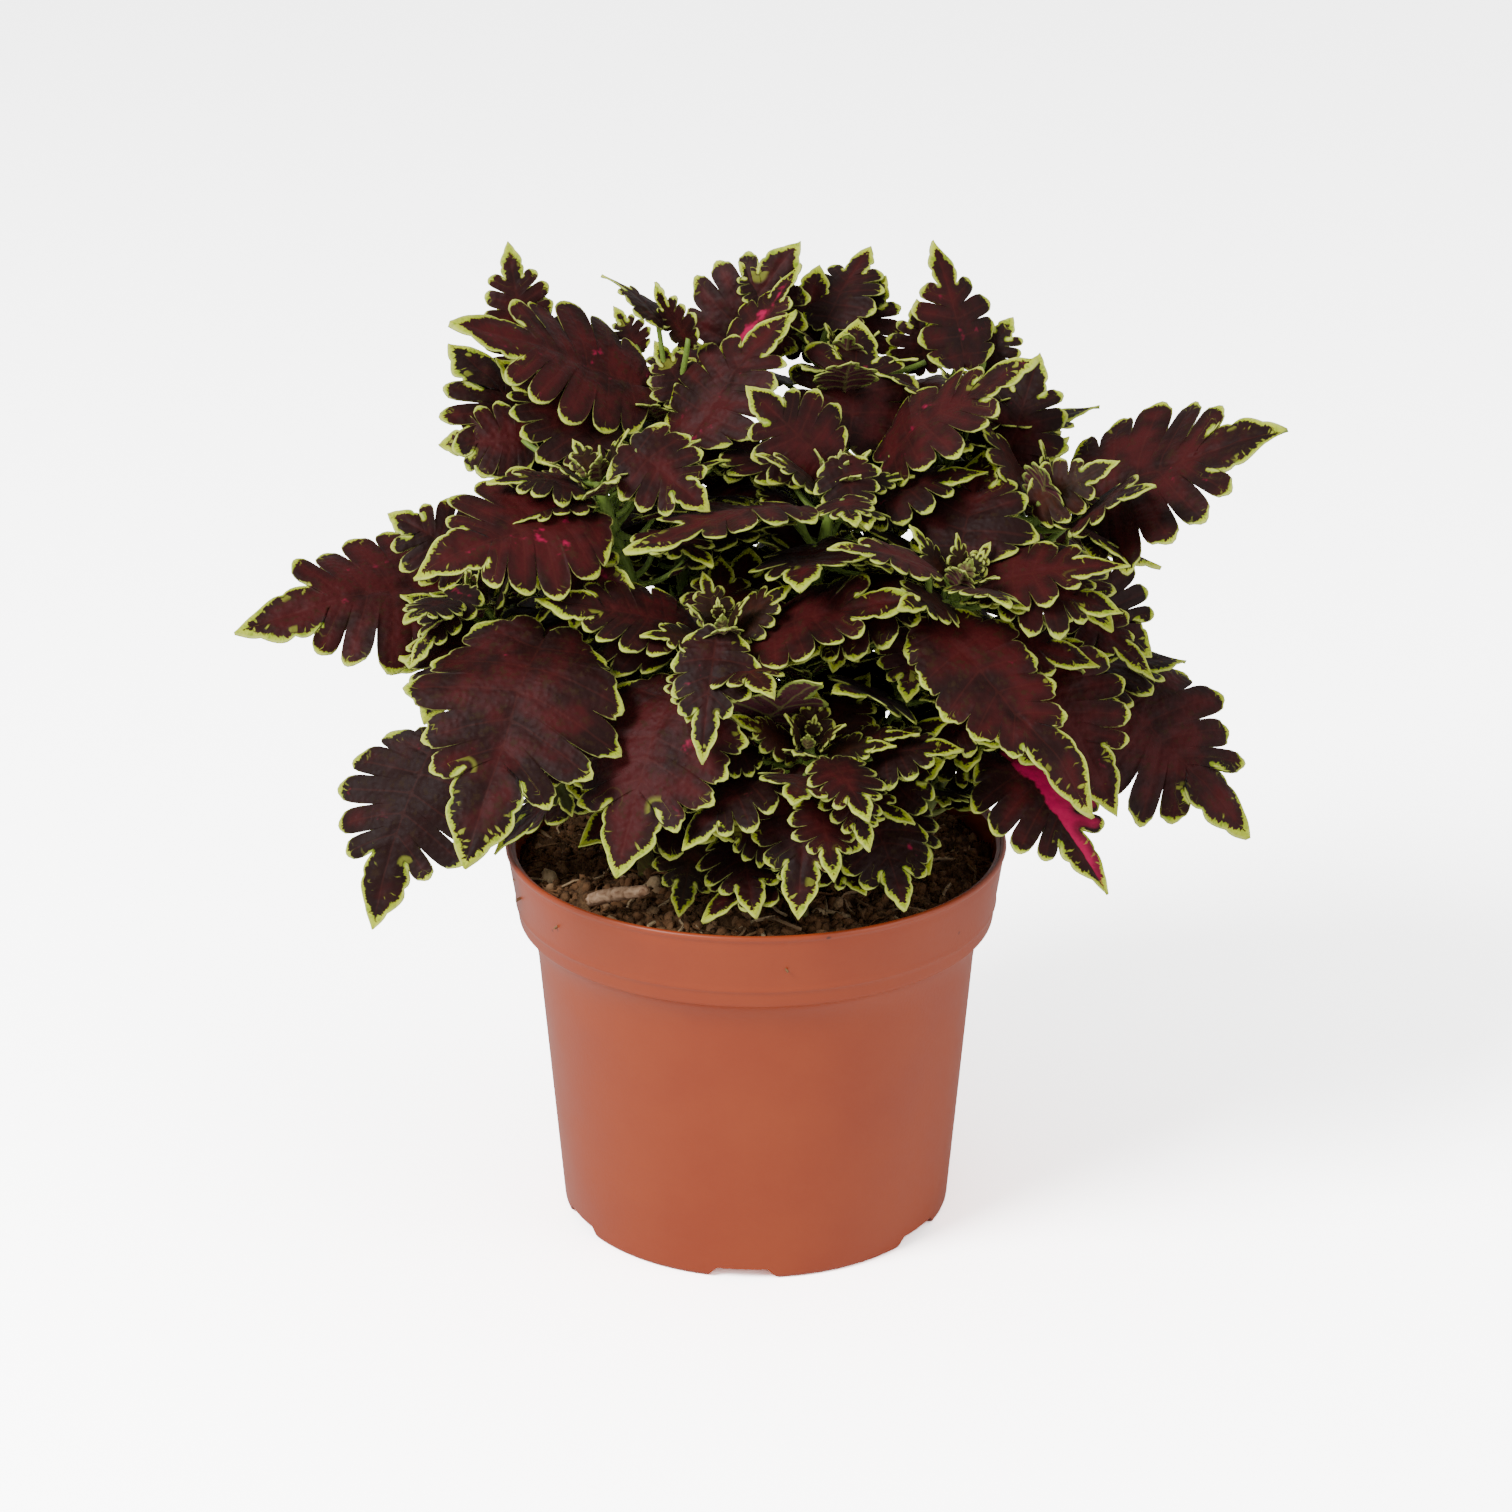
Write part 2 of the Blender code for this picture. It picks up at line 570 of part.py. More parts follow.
def settle_turns():
    """Small moves away from a leaf's own pose, the smallest first."""
    moves = product(SETTLE_TURNS, SETTLE_TURNS, SETTLE_TURNS, SETTLE_SLIDES)
    turns = [Turn(*move) for move in moves]
    return sorted(turns, key=lambda t: (1.3 * abs(t.heading) + abs(t.climb) + 0.8 * abs(t.roll)
                                        + 1.5 * abs(t.slide)))


def make_leaf(leaf, crowd, turns):
    for turn in turns:
        trial = skin("trial", leaf_rings(leaf, turn, SETTLE_ROOM))
        clear = not crowd.touches(trial)
        bpy.data.meshes.remove(trial)
        if clear:
            return skin("leaf_" + leaf.name, leaf_rings(leaf, turn, 0.0))
    raise RuntimeError("no clear place for leaf " + leaf.name)


# ---- Plant in its pot ----

def make_plant():
    crowd = Crowd()
    uncut_pot = lathe("uncut_pot", pot_profile(), POT_SEGMENTS)
    crowd.add(uncut_pot)
    bpy.data.meshes.remove(uncut_pot)
    make_pot()

    mix = make_mix()
    ground = Ground(mix)
    crowd.add(mix)
    add_object("potting_mix", mix, POTTING_MIX)

    stub = make_stub(ground)
    crowd.add(stub)
    add_object("old_stem_stub", stub, OLD_WOOD)

    for letter, stem in STEMS.items():
        mesh = make_stem("stem_" + letter, stem, ground)
        crowd.add(mesh)
        add_object("stem_" + letter, mesh, GREEN_STEM)

    turns = settle_turns()
    for leaf in LEAVES:
        mesh = make_leaf(leaf, crowd, turns)
        crowd.add(mesh)
        add_object("leaf_" + leaf.name, mesh, LEAF_MAROON)


make_plant()
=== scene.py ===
"""A potted coleus: a moulded plastic nursery pot, potting mix, square stems and lobed maroon
leaves with chartreuse edges. Lengths are in millimetres until a mesh is made."""

from collections import namedtuple
from itertools import product
from math import cos, pi, radians, sin

import bmesh
import bpy
import numpy as np
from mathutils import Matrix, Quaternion, Vector
from mathutils.bvhtree import BVHTree


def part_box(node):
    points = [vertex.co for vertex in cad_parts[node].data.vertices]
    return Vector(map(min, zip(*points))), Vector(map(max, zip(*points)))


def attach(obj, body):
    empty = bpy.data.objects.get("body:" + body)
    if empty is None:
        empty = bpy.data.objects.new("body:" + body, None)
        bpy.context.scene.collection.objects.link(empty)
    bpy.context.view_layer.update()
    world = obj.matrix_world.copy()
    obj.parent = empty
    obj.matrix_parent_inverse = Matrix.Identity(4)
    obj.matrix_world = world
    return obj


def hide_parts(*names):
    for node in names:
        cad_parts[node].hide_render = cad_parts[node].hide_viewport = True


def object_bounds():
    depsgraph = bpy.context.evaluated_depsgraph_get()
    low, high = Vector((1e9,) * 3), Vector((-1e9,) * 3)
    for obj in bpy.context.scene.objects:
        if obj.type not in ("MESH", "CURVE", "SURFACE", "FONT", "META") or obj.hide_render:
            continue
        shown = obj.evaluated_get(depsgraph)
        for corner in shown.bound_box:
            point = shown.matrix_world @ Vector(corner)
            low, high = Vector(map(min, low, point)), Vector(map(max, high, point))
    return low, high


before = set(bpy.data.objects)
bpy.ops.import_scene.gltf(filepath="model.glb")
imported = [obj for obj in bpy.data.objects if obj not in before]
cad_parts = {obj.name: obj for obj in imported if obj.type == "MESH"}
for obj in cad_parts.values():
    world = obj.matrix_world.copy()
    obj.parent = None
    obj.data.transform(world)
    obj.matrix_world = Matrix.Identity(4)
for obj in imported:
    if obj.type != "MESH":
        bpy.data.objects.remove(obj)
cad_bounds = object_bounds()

MM = 0.001

# ---- Camera ----

CAMERA_DISTANCE = 0.9
CAMERA_DIP = radians(21.13)
AIM_HEIGHT = 0.1151
SENSOR = 36.0
LENS = 89.83


def make_camera():
    """A long lens that looks slightly down on the plant."""
    data = bpy.data.cameras.new("camera")
    data.sensor_width = SENSOR
    data.lens = LENS
    camera = bpy.data.objects.new("camera", data)
    bpy.context.scene.collection.objects.link(camera)
    back = CAMERA_DISTANCE * cos(CAMERA_DIP)
    camera.location = (0, -back, AIM_HEIGHT + CAMERA_DISTANCE * sin(CAMERA_DIP))
    camera.rotation_euler = (pi / 2 - CAMERA_DIP, 0, 0)
    bpy.context.scene.camera = camera


make_camera()

# ---- Nodes and colours ----

MIX_A = 6               # a colour Mix node's sockets
MIX_B = 7
MIX_RESULT = 2
SMOOTH = {"interpolation_type": "SMOOTHSTEP"}
TIMES = {"operation": "MULTIPLY"}
LEAF_KEYS = ("margin", "along", "vein", "tip", "teeth", "inset", "under", "tint", "pink", "young")


def linear(code):
    """An sRGB hex colour as a linear one."""
    parts = [int(code[i:i + 2], 16) / 255 for i in (1, 3, 5)]
    return (*[p / 12.92 if p <= 0.04045 else ((p + 0.055) / 1.055) ** 2.4 for p in parts], 1.0)


def add(tree, kind, links=None, **settings):
    """Add a node with its settings, and set or link its inputs."""
    made = tree.nodes.new(kind)
    for key, value in settings.items():
        setattr(made, key, value)
    for key, value in (links or {}).items():
        if isinstance(value, bpy.types.NodeSocket):
            tree.links.new(value, made.inputs[key])
        else:
            made.inputs[key].default_value = value
    return made


def start_material(name, **constants):
    """A material, its node tree and its Principled shader with constant values set."""
    made = bpy.data.materials.new(name)
    made.use_nodes = True
    tree = made.node_tree
    shader = tree.nodes["Principled BSDF"]
    for key, value in constants.items():
        shader.inputs[key.replace("_", " ")].default_value = value
    return made, tree, shader


def coleus_leaf():
    """Coleus blade, grown: thin, quilted between its veins and faintly hairy, so it is satin
    rather than glossy, dark maroon inside and chartreuse at the edge, paler underneath."""
    made, tree, shader = start_material("coleus_leaf", IOR=1.38, Sheen_Weight=0.02, Sheen_Roughness=0.45)
    shader.inputs["Specular IOR Level"].default_value = 0.22
    read = {}
    for name in LEAF_KEYS:
        read[name] = add(tree, "ShaderNodeAttribute", attribute_name=name).outputs["Fac"]
    place = add(tree, "ShaderNodeTexCoord").outputs["Object"]
    # Feathering runs square to the edge: teeth about 0.8 mm apart and 2.5 mm long
    edge_place = add(tree, "ShaderNodeCombineXYZ", {
        "X": read["along"], "Y": read["margin"], "Z": read["tint"]}).outputs[0]
    edge_place = add(tree, "ShaderNodeVectorMath", {0: edge_place, 1: (1.0, 0.3, 40.0)}, **TIMES).outputs[0]
    feather = add(tree, "ShaderNodeTexNoise", {
        "Vector": edge_place, "Scale": 1.15, "Detail": 2.0, "Roughness": 0.6}).outputs["Fac"]
    # Millimetres inside the green band
    depth = add(tree, "ShaderNodeMath", {0: feather, 1: read["teeth"], 2: read["inset"]},
                operation="MULTIPLY_ADD").outputs[0]
    green = add(tree, "ShaderNodeMapRange", {
        "Value": depth, "From Min": -0.26, "From Max": 0.2, "To Min": 1.0, "To Max": 0.0},
        **SMOOTH).outputs[0]
    # Yellow flecks just inside the edge, about 0.6 mm across
    cells = add(tree, "ShaderNodeTexVoronoi", {"Vector": edge_place, "Scale": 0.62}).outputs["Distance"]
    flecks = add(tree, "ShaderNodeMapRange", {
        "Value": cells, "From Min": 0.17, "From Max": 0.29, "To Min": 1.0, "To Max": 0.0},
        **SMOOTH).outputs[0]
    inside = add(tree, "ShaderNodeMapRange", {"Value": depth, "From Min": 0.0, "From Max": 0.5}, **SMOOTH)
    near = add(tree, "ShaderNodeMapRange", {
        "Value": depth, "From Min": 1.2, "From Max": 2.6, "To Min": 0.9, "To Max": 0.0}, **SMOOTH)
    flecks = add(tree, "ShaderNodeMath", {0: flecks, 1: inside.outputs[0]}, **TIMES).outputs[0]
    flecks = add(tree, "ShaderNodeMath", {0: flecks, 1: near.outputs[0]}, **TIMES).outputs[0]
    flecks = add(tree, "ShaderNodeMath", {0: flecks, 1: read["tip"]}, **TIMES).outputs[0]
    # Cloudy patches 8 to 15 mm across, and mottling about 1.5 mm across between the veins
    clouds = add(tree, "ShaderNodeTexNoise", {
        "Vector": place, "Scale": 95.0, "Detail": 3.0, "Roughness": 0.55}).outputs["Fac"]
    mottle = add(tree, "ShaderNodeTexNoise", {
        "Vector": place, "Scale": 520.0, "Detail": 3.0, "Roughness": 0.65}).outputs["Fac"]
    red = add(tree, "ShaderNodeMath", {0: read["tint"], 1: 0.24, 2: clouds}, operation="MULTIPLY_ADD")
    red = add(tree, "ShaderNodeMapRange", {
        "Value": red.outputs[0], "From Min": 0.46, "From Max": 0.78}, **SMOOTH).outputs[0]
    blotch = add(tree, "ShaderNodeMapRange", {
        "Value": mottle, "From Min": 0.5, "From Max": 0.66, "To Max": 0.55}, **SMOOTH)
    between = add(tree, "ShaderNodeMapRange", {
        "Value": read["vein"], "From Min": 0.3, "From Max": 1.6}, **SMOOTH)
    olive = add(tree, "ShaderNodeMath", {0: blotch.outputs[0], 1: between.outputs[0]}, **TIMES).outputs[0]
    border = add(tree, "ShaderNodeMapRange", {"Value": depth, "From Min": -0.3, "From Max": 0.35}, **SMOOTH)
    faded = add(tree, "ShaderNodeMapRange", {
        "Value": depth, "From Min": 0.8, "From Max": 3.0, "To Min": 0.55, "To Max": 0.0}, **SMOOTH)
    dark = add(tree, "ShaderNodeMath", {0: border.outputs[0], 1: faded.outputs[0]}, **TIMES).outputs[0]
    # Magenta streaks 4 to 6 mm across where a leaf is flushed
    patches = add(tree, "ShaderNodeTexNoise", {
        "Vector": place, "Scale": 170.0, "Detail": 3.0, "Roughness": 0.6}).outputs["Fac"]
    flush = add(tree, "ShaderNodeMath", {0: read["pink"], 1: 0.45, 2: patches}, operation="MULTIPLY_ADD")
    flush = add(tree, "ShaderNodeMapRange", {
        "Value": flush.outputs[0], "From Min": 0.68, "From Max": 0.84}, **SMOOTH)
    clear = add(tree, "ShaderNodeMapRange", {
        "Value": read["margin"], "From Min": 0.6, "From Max": 1.4}, **SMOOTH)
    magenta = add(tree, "ShaderNodeMath", {0: flush.outputs[0], 1: clear.outputs[0]}, **TIMES).outputs[0]
    veins = add(tree, "ShaderNodeMapRange", {
        "Value": read["vein"], "From Min": 0.08, "From Max": 0.35, "To Min": 0.2, "To Max": 0.0}, **SMOOTH)
    young_green = add(tree, "ShaderNodeMath", {0: read["young"], 1: 0.35}, **TIMES).outputs[0]
    yellow = add(tree, "ShaderNodeMath", {0: read["tip"], 1: 0.25, 2: feather}, operation="MULTIPLY_ADD")
    yellow = add(tree, "ShaderNodeMapRange", {
        "Value": yellow.outputs[0], "From Min": 0.45, "From Max": 0.75}, **SMOOTH).outputs[0]
    rim = add(tree, "ShaderNodeMapRange", {
        "Value": read["margin"], "From Min": 0.15, "From Max": 0.6, "To Min": 0.6, "To Max": 0.0}, **SMOOTH)
    edge_colour = linear("#7F961C")
    for mask, code in ((yellow, "#B7C232"), (rim.outputs[0], "#CBD274")):
        edge_colour = add(tree, "ShaderNodeMix", {0: mask, MIX_A: edge_colour, MIX_B: linear(code)},
                          data_type="RGBA").outputs[MIX_RESULT]
    upper = linear("#200907")
    for mask, over in (
            (red, linear("#420F10")), (olive, linear("#30200C")), (veins.outputs[0], linear("#4E2018")),
            (young_green, linear("#3F4A1C")), (magenta, linear("#A81046")), (dark, linear("#1C0B09")),
            (flecks, linear("#AEB83C")), (green, edge_colour)):
        upper = add(tree, "ShaderNodeMix", {0: mask, MIX_A: upper, MIX_B: over},
                    data_type="RGBA").outputs[MIX_RESULT]
    ribs = add(tree, "ShaderNodeMapRange", {
        "Value": read["vein"], "From Min": 0.15, "From Max": 0.5, "To Min": 0.7, "To Max": 0.0}, **SMOOTH)
    under = linear("#542A32")
    for mask, over in ((ribs.outputs[0], linear("#74703F")), (olive, linear("#54502F")),
                       (green, linear("#8C9C46"))):
        under = add(tree, "ShaderNodeMix", {0: mask, MIX_A: under, MIX_B: over},
                    data_type="RGBA").outputs[MIX_RESULT]
    colour = add(tree, "ShaderNodeMix", {0: read["under"], MIX_A: upper, MIX_B: under}, data_type="RGBA")
    tree.links.new(colour.outputs[MIX_RESULT], shader.inputs["Base Color"])
    rough = add(tree, "ShaderNodeMath", {0: mottle, 1: 0.26, 2: 0.46}, operation="MULTIPLY_ADD").outputs[0]
    tree.links.new(rough, shader.inputs["Roughness"])
    # Fine quilting, cells about 1.3 mm across
    quilt = add(tree, "ShaderNodeTexVoronoi", {"Vector": place, "Scale": 760.0}, feature="SMOOTH_F1")
    bump = add(tree, "ShaderNodeBump", {
        "Height": quilt.outputs["Distance"], "Strength": 0.55, "Distance": 0.0004}, invert=True)
    tree.links.new(bump.outputs[0], shader.inputs["Normal"])
    return made


def coleus_stem():
    """Coleus stem and leaf stalk, grown: juicy, square and fine-haired, so it is a matt light
    green that flushes purple-brown low down."""
    made, tree, shader = start_material("coleus_stem", IOR=1.4, Sheen_Weight=0.1)
    place = add(tree, "ShaderNodeTexCoord").outputs["Object"]
    # Flushed stretches about 17 mm long, and fine hairs about 1 mm apart
    flush = add(tree, "ShaderNodeTexNoise", {"Vector": place, "Scale": 60.0, "Detail": 3.0}).outputs["Fac"]
    fine = add(tree, "ShaderNodeTexNoise", {"Vector": place, "Scale": 900.0, "Detail": 2.0}).outputs["Fac"]
    low = add(tree, "ShaderNodeSeparateXYZ", {0: place}).outputs["Z"]
    woody = add(tree, "ShaderNodeMapRange", {
        "Value": low, "From Min": 0.125, "From Max": 0.09, "To Max": 0.8}).outputs[0]
    flushed = add(tree, "ShaderNodeMapRange", {
        "Value": flush, "From Min": 0.56, "From Max": 0.75, "To Max": 0.5}).outputs[0]
    speckle = add(tree, "ShaderNodeMapRange", {
        "Value": fine, "From Min": 0.5, "From Max": 0.7, "To Max": 0.4}).outputs[0]
    colour = linear("#6F8A32")
    for mask, code in ((flushed, "#5E4030"), (woody, "#6E5636"), (speckle, "#93A850")):
        colour = add(tree, "ShaderNodeMix", {0: mask, MIX_A: colour, MIX_B: linear(code)},
                     data_type="RGBA").outputs[MIX_RESULT]
    tree.links.new(colour, shader.inputs["Base Color"])
    shader.inputs["Roughness"].default_value = 0.55
    bump = add(tree, "ShaderNodeBump", {"Height": fine, "Strength": 0.3, "Distance": 0.0003})
    tree.links.new(bump.outputs[0], shader.inputs["Normal"])
    return made


def terracotta_polypropylene():
    """Polypropylene coloured terracotta, injection moulded thin: smooth and waxy with a broad
    soft shine, faint flow clouds and a few crumbs of dirt near the rim."""
    made, tree, shader = start_material("terracotta_polypropylene", IOR=1.49)
    place = add(tree, "ShaderNodeTexCoord").outputs["Object"]
    # Flow clouds about 26 mm across, moulded grain 0.7 mm, dirt specks 1 to 2 mm, 10 mm apart
    clouds = add(tree, "ShaderNodeTexNoise", {
        "Vector": place, "Scale": 38.0, "Detail": 4.0, "Roughness": 0.6}).outputs["Fac"]
    grain = add(tree, "ShaderNodeTexNoise", {"Vector": place, "Scale": 1400.0, "Detail": 2.0}).outputs["Fac"]
    specks = add(tree, "ShaderNodeTexVoronoi", {"Vector": place, "Scale": 95.0}).outputs["Distance"]
    high = add(tree, "ShaderNodeSeparateXYZ", {0: place}).outputs["Z"]
    cloudy = add(tree, "ShaderNodeMapRange", {
        "Value": clouds, "From Min": 0.35, "From Max": 0.7, "To Max": 0.6}).outputs[0]
    speck = add(tree, "ShaderNodeMapRange", {
        "Value": specks, "From Min": 0.085, "From Max": 0.05}, **SMOOTH).outputs[0]
    near_rim = add(tree, "ShaderNodeMapRange", {
        "Value": high, "From Min": 0.074, "From Max": 0.086, "To Max": 0.75}).outputs[0]
    dirt = add(tree, "ShaderNodeMath", {0: speck, 1: near_rim}, **TIMES).outputs[0]
    colour = linear("#993C18")
    for mask, code in ((cloudy, "#A3461F"), (dirt, "#3A1E14")):
        colour = add(tree, "ShaderNodeMix", {0: mask, MIX_A: colour, MIX_B: linear(code)},
                     data_type="RGBA").outputs[MIX_RESULT]
    tree.links.new(colour, shader.inputs["Base Color"])
    rough = add(tree, "ShaderNodeMapRange", {
        "Value": clouds, "From Min": 0.3, "From Max": 0.7, "To Min": 0.36, "To Max": 0.48}).outputs[0]
    tree.links.new(rough, shader.inputs["Roughness"])
    bump = add(tree, "ShaderNodeBump", {"Height": grain, "Strength": 0.12, "Distance": 0.0002})
    tree.links.new(bump.outputs[0], shader.inputs["Normal"])
    return made


def peat_mix():
    """Peat and composted bark, loose and damp: matt, nearly black between the crumbs, with
    rusty and pale crumbs among them."""
    made, tree, shader = start_material("peat_mix", Roughness=0.95)
    shader.inputs["Specular IOR Level"].default_value = 0.25
    place = add(tree, "ShaderNodeTexCoord").outputs["Object"]
    shade = add(tree, "ShaderNodeAttribute", attribute_name="shade").outputs["Fac"]
    # Grit about 2.4 mm across, with finer crumbs in it
    grit = add(tree, "ShaderNodeTexNoise", {
        "Vector": place, "Scale": 420.0, "Detail": 5.0, "Roughness": 0.7}).outputs["Fac"]
    brown = add(tree, "ShaderNodeMapRange", {"Value": grit, "From Min": 0.4, "From Max": 0.66}).outputs[0]
    pale = add(tree, "ShaderNodeMapRange", {"Value": shade, "From Min": 0.72, "From Max": 1.0}).outputs[0]
    rusty = add(tree, "ShaderNodeMapRange", {
        "Value": shade, "From Min": 0.3, "From Max": 0.8, "To Max": 0.8}).outputs[0]
    colour = linear("#46311F")
    for mask, code in ((brown, "#7A5C3E"), (rusty, "#886040"), (pale, "#CDB48C")):
        colour = add(tree, "ShaderNodeMix", {0: mask, MIX_A: colour, MIX_B: linear(code)},
                     data_type="RGBA").outputs[MIX_RESULT]
    tree.links.new(colour, shader.inputs["Base Color"])
    bump = add(tree, "ShaderNodeBump", {"Height": grit, "Strength": 0.9, "Distance": 0.0008})
    tree.links.new(bump.outputs[0], shader.inputs["Normal"])
    return made


def old_wood():
    """An old coleus stem, dried: pale greyish brown, fibrous along its length, dull."""
    made, tree, shader = start_material("old_wood", Roughness=0.85)
    place = add(tree, "ShaderNodeTexCoord").outputs["Object"]
    # Fibres about 2 mm apart, drawn coarser than the real ones so that they show
    fibres = add(tree, "ShaderNodeTexNoise", {
        "Vector": place, "Scale": 500.0, "Detail": 4.0, "Distortion": 0.6}).outputs["Fac"]
    light = add(tree, "ShaderNodeMapRange", {"Value": fibres, "From Min": 0.38, "From Max": 0.66}).outputs[0]
    colour = add(tree, "ShaderNodeMix", {0: light, MIX_A: linear("#8A6448"), MIX_B: linear("#D2AE8C")},
                 data_type="RGBA")
    tree.links.new(colour.outputs[MIX_RESULT], shader.inputs["Base Color"])
    bump = add(tree, "ShaderNodeBump", {"Height": fibres, "Strength": 0.6, "Distance": 0.0006})
    tree.links.new(bump.outputs[0], shader.inputs["Normal"])
    return made


LEAF = coleus_leaf()
STEM = coleus_stem()
POT = terracotta_polypropylene()
PEAT = peat_mix()
WOOD = old_wood()

# ---- Meshes ----


def add_piece(name, points, faces, materials, face_materials=None, values=None):
    """Make one mesh object from points in millimetres, with its faces turned outwards."""
    mesh = bpy.data.meshes.new(name)
    mesh.from_pydata((np.asarray(points) * MM).tolist(), [], faces)
    for used in materials:
        mesh.materials.append(used)
    if face_materials is not None:
        mesh.polygons.foreach_set("material_index", face_materials)
    for key, value in (values or {}).items():
        mesh.attributes.new(key, "FLOAT", "POINT").data.foreach_set("value", np.asarray(value, np.float32))
    mesh.shade_smooth()
    mesh.update()
    made = bpy.data.objects.new(name, mesh)
    bpy.context.scene.collection.objects.link(made)
    return made


class Batch:
    """Shells gathered into one piece, each with its material and its point values."""

    def __init__(self, keys):
        self.keys = keys
        self.points = []
        self.faces = []
        self.face_materials = []
        self.values = {key: [] for key in keys}
        self.count = 0

    def add(self, points, faces, used, values=None):
        """Take in one shell; used is the place of its material in the piece's list."""
        self.points.append(np.asarray(points))
        self.faces += [tuple(self.count + k for k in face) for face in faces]
        self.face_materials += [used] * len(faces)
        for key in self.keys:
            given = (values or {}).get(key, 0.0)
            self.values[key].append(np.broadcast_to(given, len(points)))
        self.count += len(points)

    def make(self, name, materials):
        """Make the piece."""
        values = {key: np.concatenate(parts) for key, parts in self.values.items()}
        return add_piece(name, np.concatenate(self.points), self.faces, materials,
                         self.face_materials, values)


def node_corners(name):
    """A CAD node's corners in millimetres, each one once."""
    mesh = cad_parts[name].data
    flat = np.empty(len(mesh.vertices) * 3)
    mesh.vertices.foreach_get("co", flat)
    corners = flat.reshape(-1, 3) / MM
    kept = np.unique(np.round(corners, 2), axis=0, return_index=True)[1]
    return corners[np.sort(kept)]


def tree_of(points, faces):
    """A closed shell as a tree for clearance tests."""
    return BVHTree.FromPolygons([tuple(p) for p in points], faces)


def node_tree(name):
    """A CAD node as a tree for clearance tests, in millimetres."""
    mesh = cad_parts[name].data
    points = [tuple(v.co / MM) for v in mesh.vertices]
    return BVHTree.FromPolygons(points, [tuple(p.vertices) for p in mesh.polygons])


def unit(vector):
    """The vector at a length of one."""
    return np.asarray(vector, float) / np.linalg.norm(vector)


def tube(centres, radii, sides, squareness=0.0, squash=1.0, level=None):
    """A closed tube through centres; squareness pulls its section towards a rounded square."""
    centres = np.asarray(centres, float)
    tangents = np.gradient(centres, axis=0)
    tangents /= np.linalg.norm(tangents, axis=1)[:, None]
    across = unit(np.cross(tangents[0], level if level is not None else (0.31, 0.2, 0.93)))
    angles = np.arange(sides) * 2 * pi / sides
    corner = 1 + squareness * np.cos(4 * angles)
    rings = []
    for centre, tangent, radius in zip(centres, tangents, radii):
        across = unit(across - tangent * (across @ tangent))
        upright = np.cross(across, tangent)
        spread = across * np.cos(angles)[:, None] + upright * (squash * np.sin(angles))[:, None]
        rings.append(centre + radius * corner[:, None] * spread)
    points = np.concatenate(rings + [centres[:1], centres[-1:]])
    faces = []
    count = len(rings)
    for r, i in product(range(count - 1), range(sides)):
        j = (i + 1) % sides
        faces.append((r * sides + i, r * sides + j, (r + 1) * sides + j, (r + 1) * sides + i))
    first, last = count * sides, count * sides + 1
    for i in range(sides):
        j = (i + 1) % sides
        faces.append((first, j, i))
        faces.append((last, (count - 1) * sides + i, (count - 1) * sides + j))
    return points, faces


def outward(points, faces):
    """The faces, all turned over if the closed shell they make is inside out."""
    points = np.asarray(points)
    corners = np.array([(face[0], b, c) for face in faces for b, c in zip(face[1:], face[2:])])
    a, b, c = (points[corners[:, k]] for k in range(3))
    volume = (a * np.cross(b, c)).sum()
    return faces if volume > 0 else [tuple(reversed(face)) for face in faces]


# ---- Blade as the CAD has it ----

Blade = namedtuple("Blade", "length width arch lobes")
BLADE_THICKNESS = 0.8
BLADE_HALF_WIDTH = 0.42
MIDRIB_SHARE = 0.55
SWEEP_BASE = -15
SWEEP_END = 55
ENVELOPE = (0.45, 0.85, 1.0, 0.95, 0.82, 0.6)
SINUS = (0.2, 0.25, 0.3, 0.38, 0.45, 0.6)
LOBE_PHASES = (0.0, 0.28, 0.74)
END_LOBE_STEPS = (0.0, 0.3, 0.65, 1.0)
END_LOBE_START = 0.62
TIP_HALF_WIDTH = 0.25
FOLD = 0.12
EDGE_DROOP = 0.7


def read_row(row, share):
    """The value at a share of the way along a row of evenly spread values."""
    return np.interp(share, np.linspace(0, 1, len(row)), row)


def side_edge(blade, share):
    """Midrib place and edge point (x, y) of the lobed part, on a unit-length blade."""
    bulge = (1 - abs(2 * (share * blade.lobes % 1.0) - 1) ** 2.6) ** 0.5
    reach = BLADE_HALF_WIDTH * blade.width * read_row(ENVELOPE, share)
    reach *= 1 - read_row(SINUS, share) * (1 - bulge)
    sweep = radians(SWEEP_BASE + (SWEEP_END - SWEEP_BASE) * share)
    start = MIDRIB_SHARE * share
    return start, reach * cos(sweep), start + reach * sin(sweep)


def end_edge(blade, share):
    """The same for the long end lobe."""
    half = (0.06 + 0.16 * share ** 0.7) * (1 - share ** 2) ** 0.8 * blade.width
    return (MIDRIB_SHARE + (1 - MIDRIB_SHARE) * share, half,
            END_LOBE_START + (1 - END_LOBE_START) * share)


def on_blade(blade, x, y, lift):
    """Bend flat blade points onto the arched blade, as (side, forward, up)."""
    x, y, lift = (np.asarray(v, float) for v in (x, y, lift))
    arch = radians(blade.arch)
    bend = blade.length / arch
    angle = arch / 2 - arch * y / blade.length
    along = bend * (sin(arch / 2) - np.sin(angle))
    rise = bend * (np.cos(angle) - cos(arch / 2))
    height = FOLD * abs(x) - EDGE_DROOP * x * x / blade.length + lift
    return np.stack(np.broadcast_arrays(
        x, along - np.sin(angle) * height, rise + np.cos(angle) * height), axis=-1)


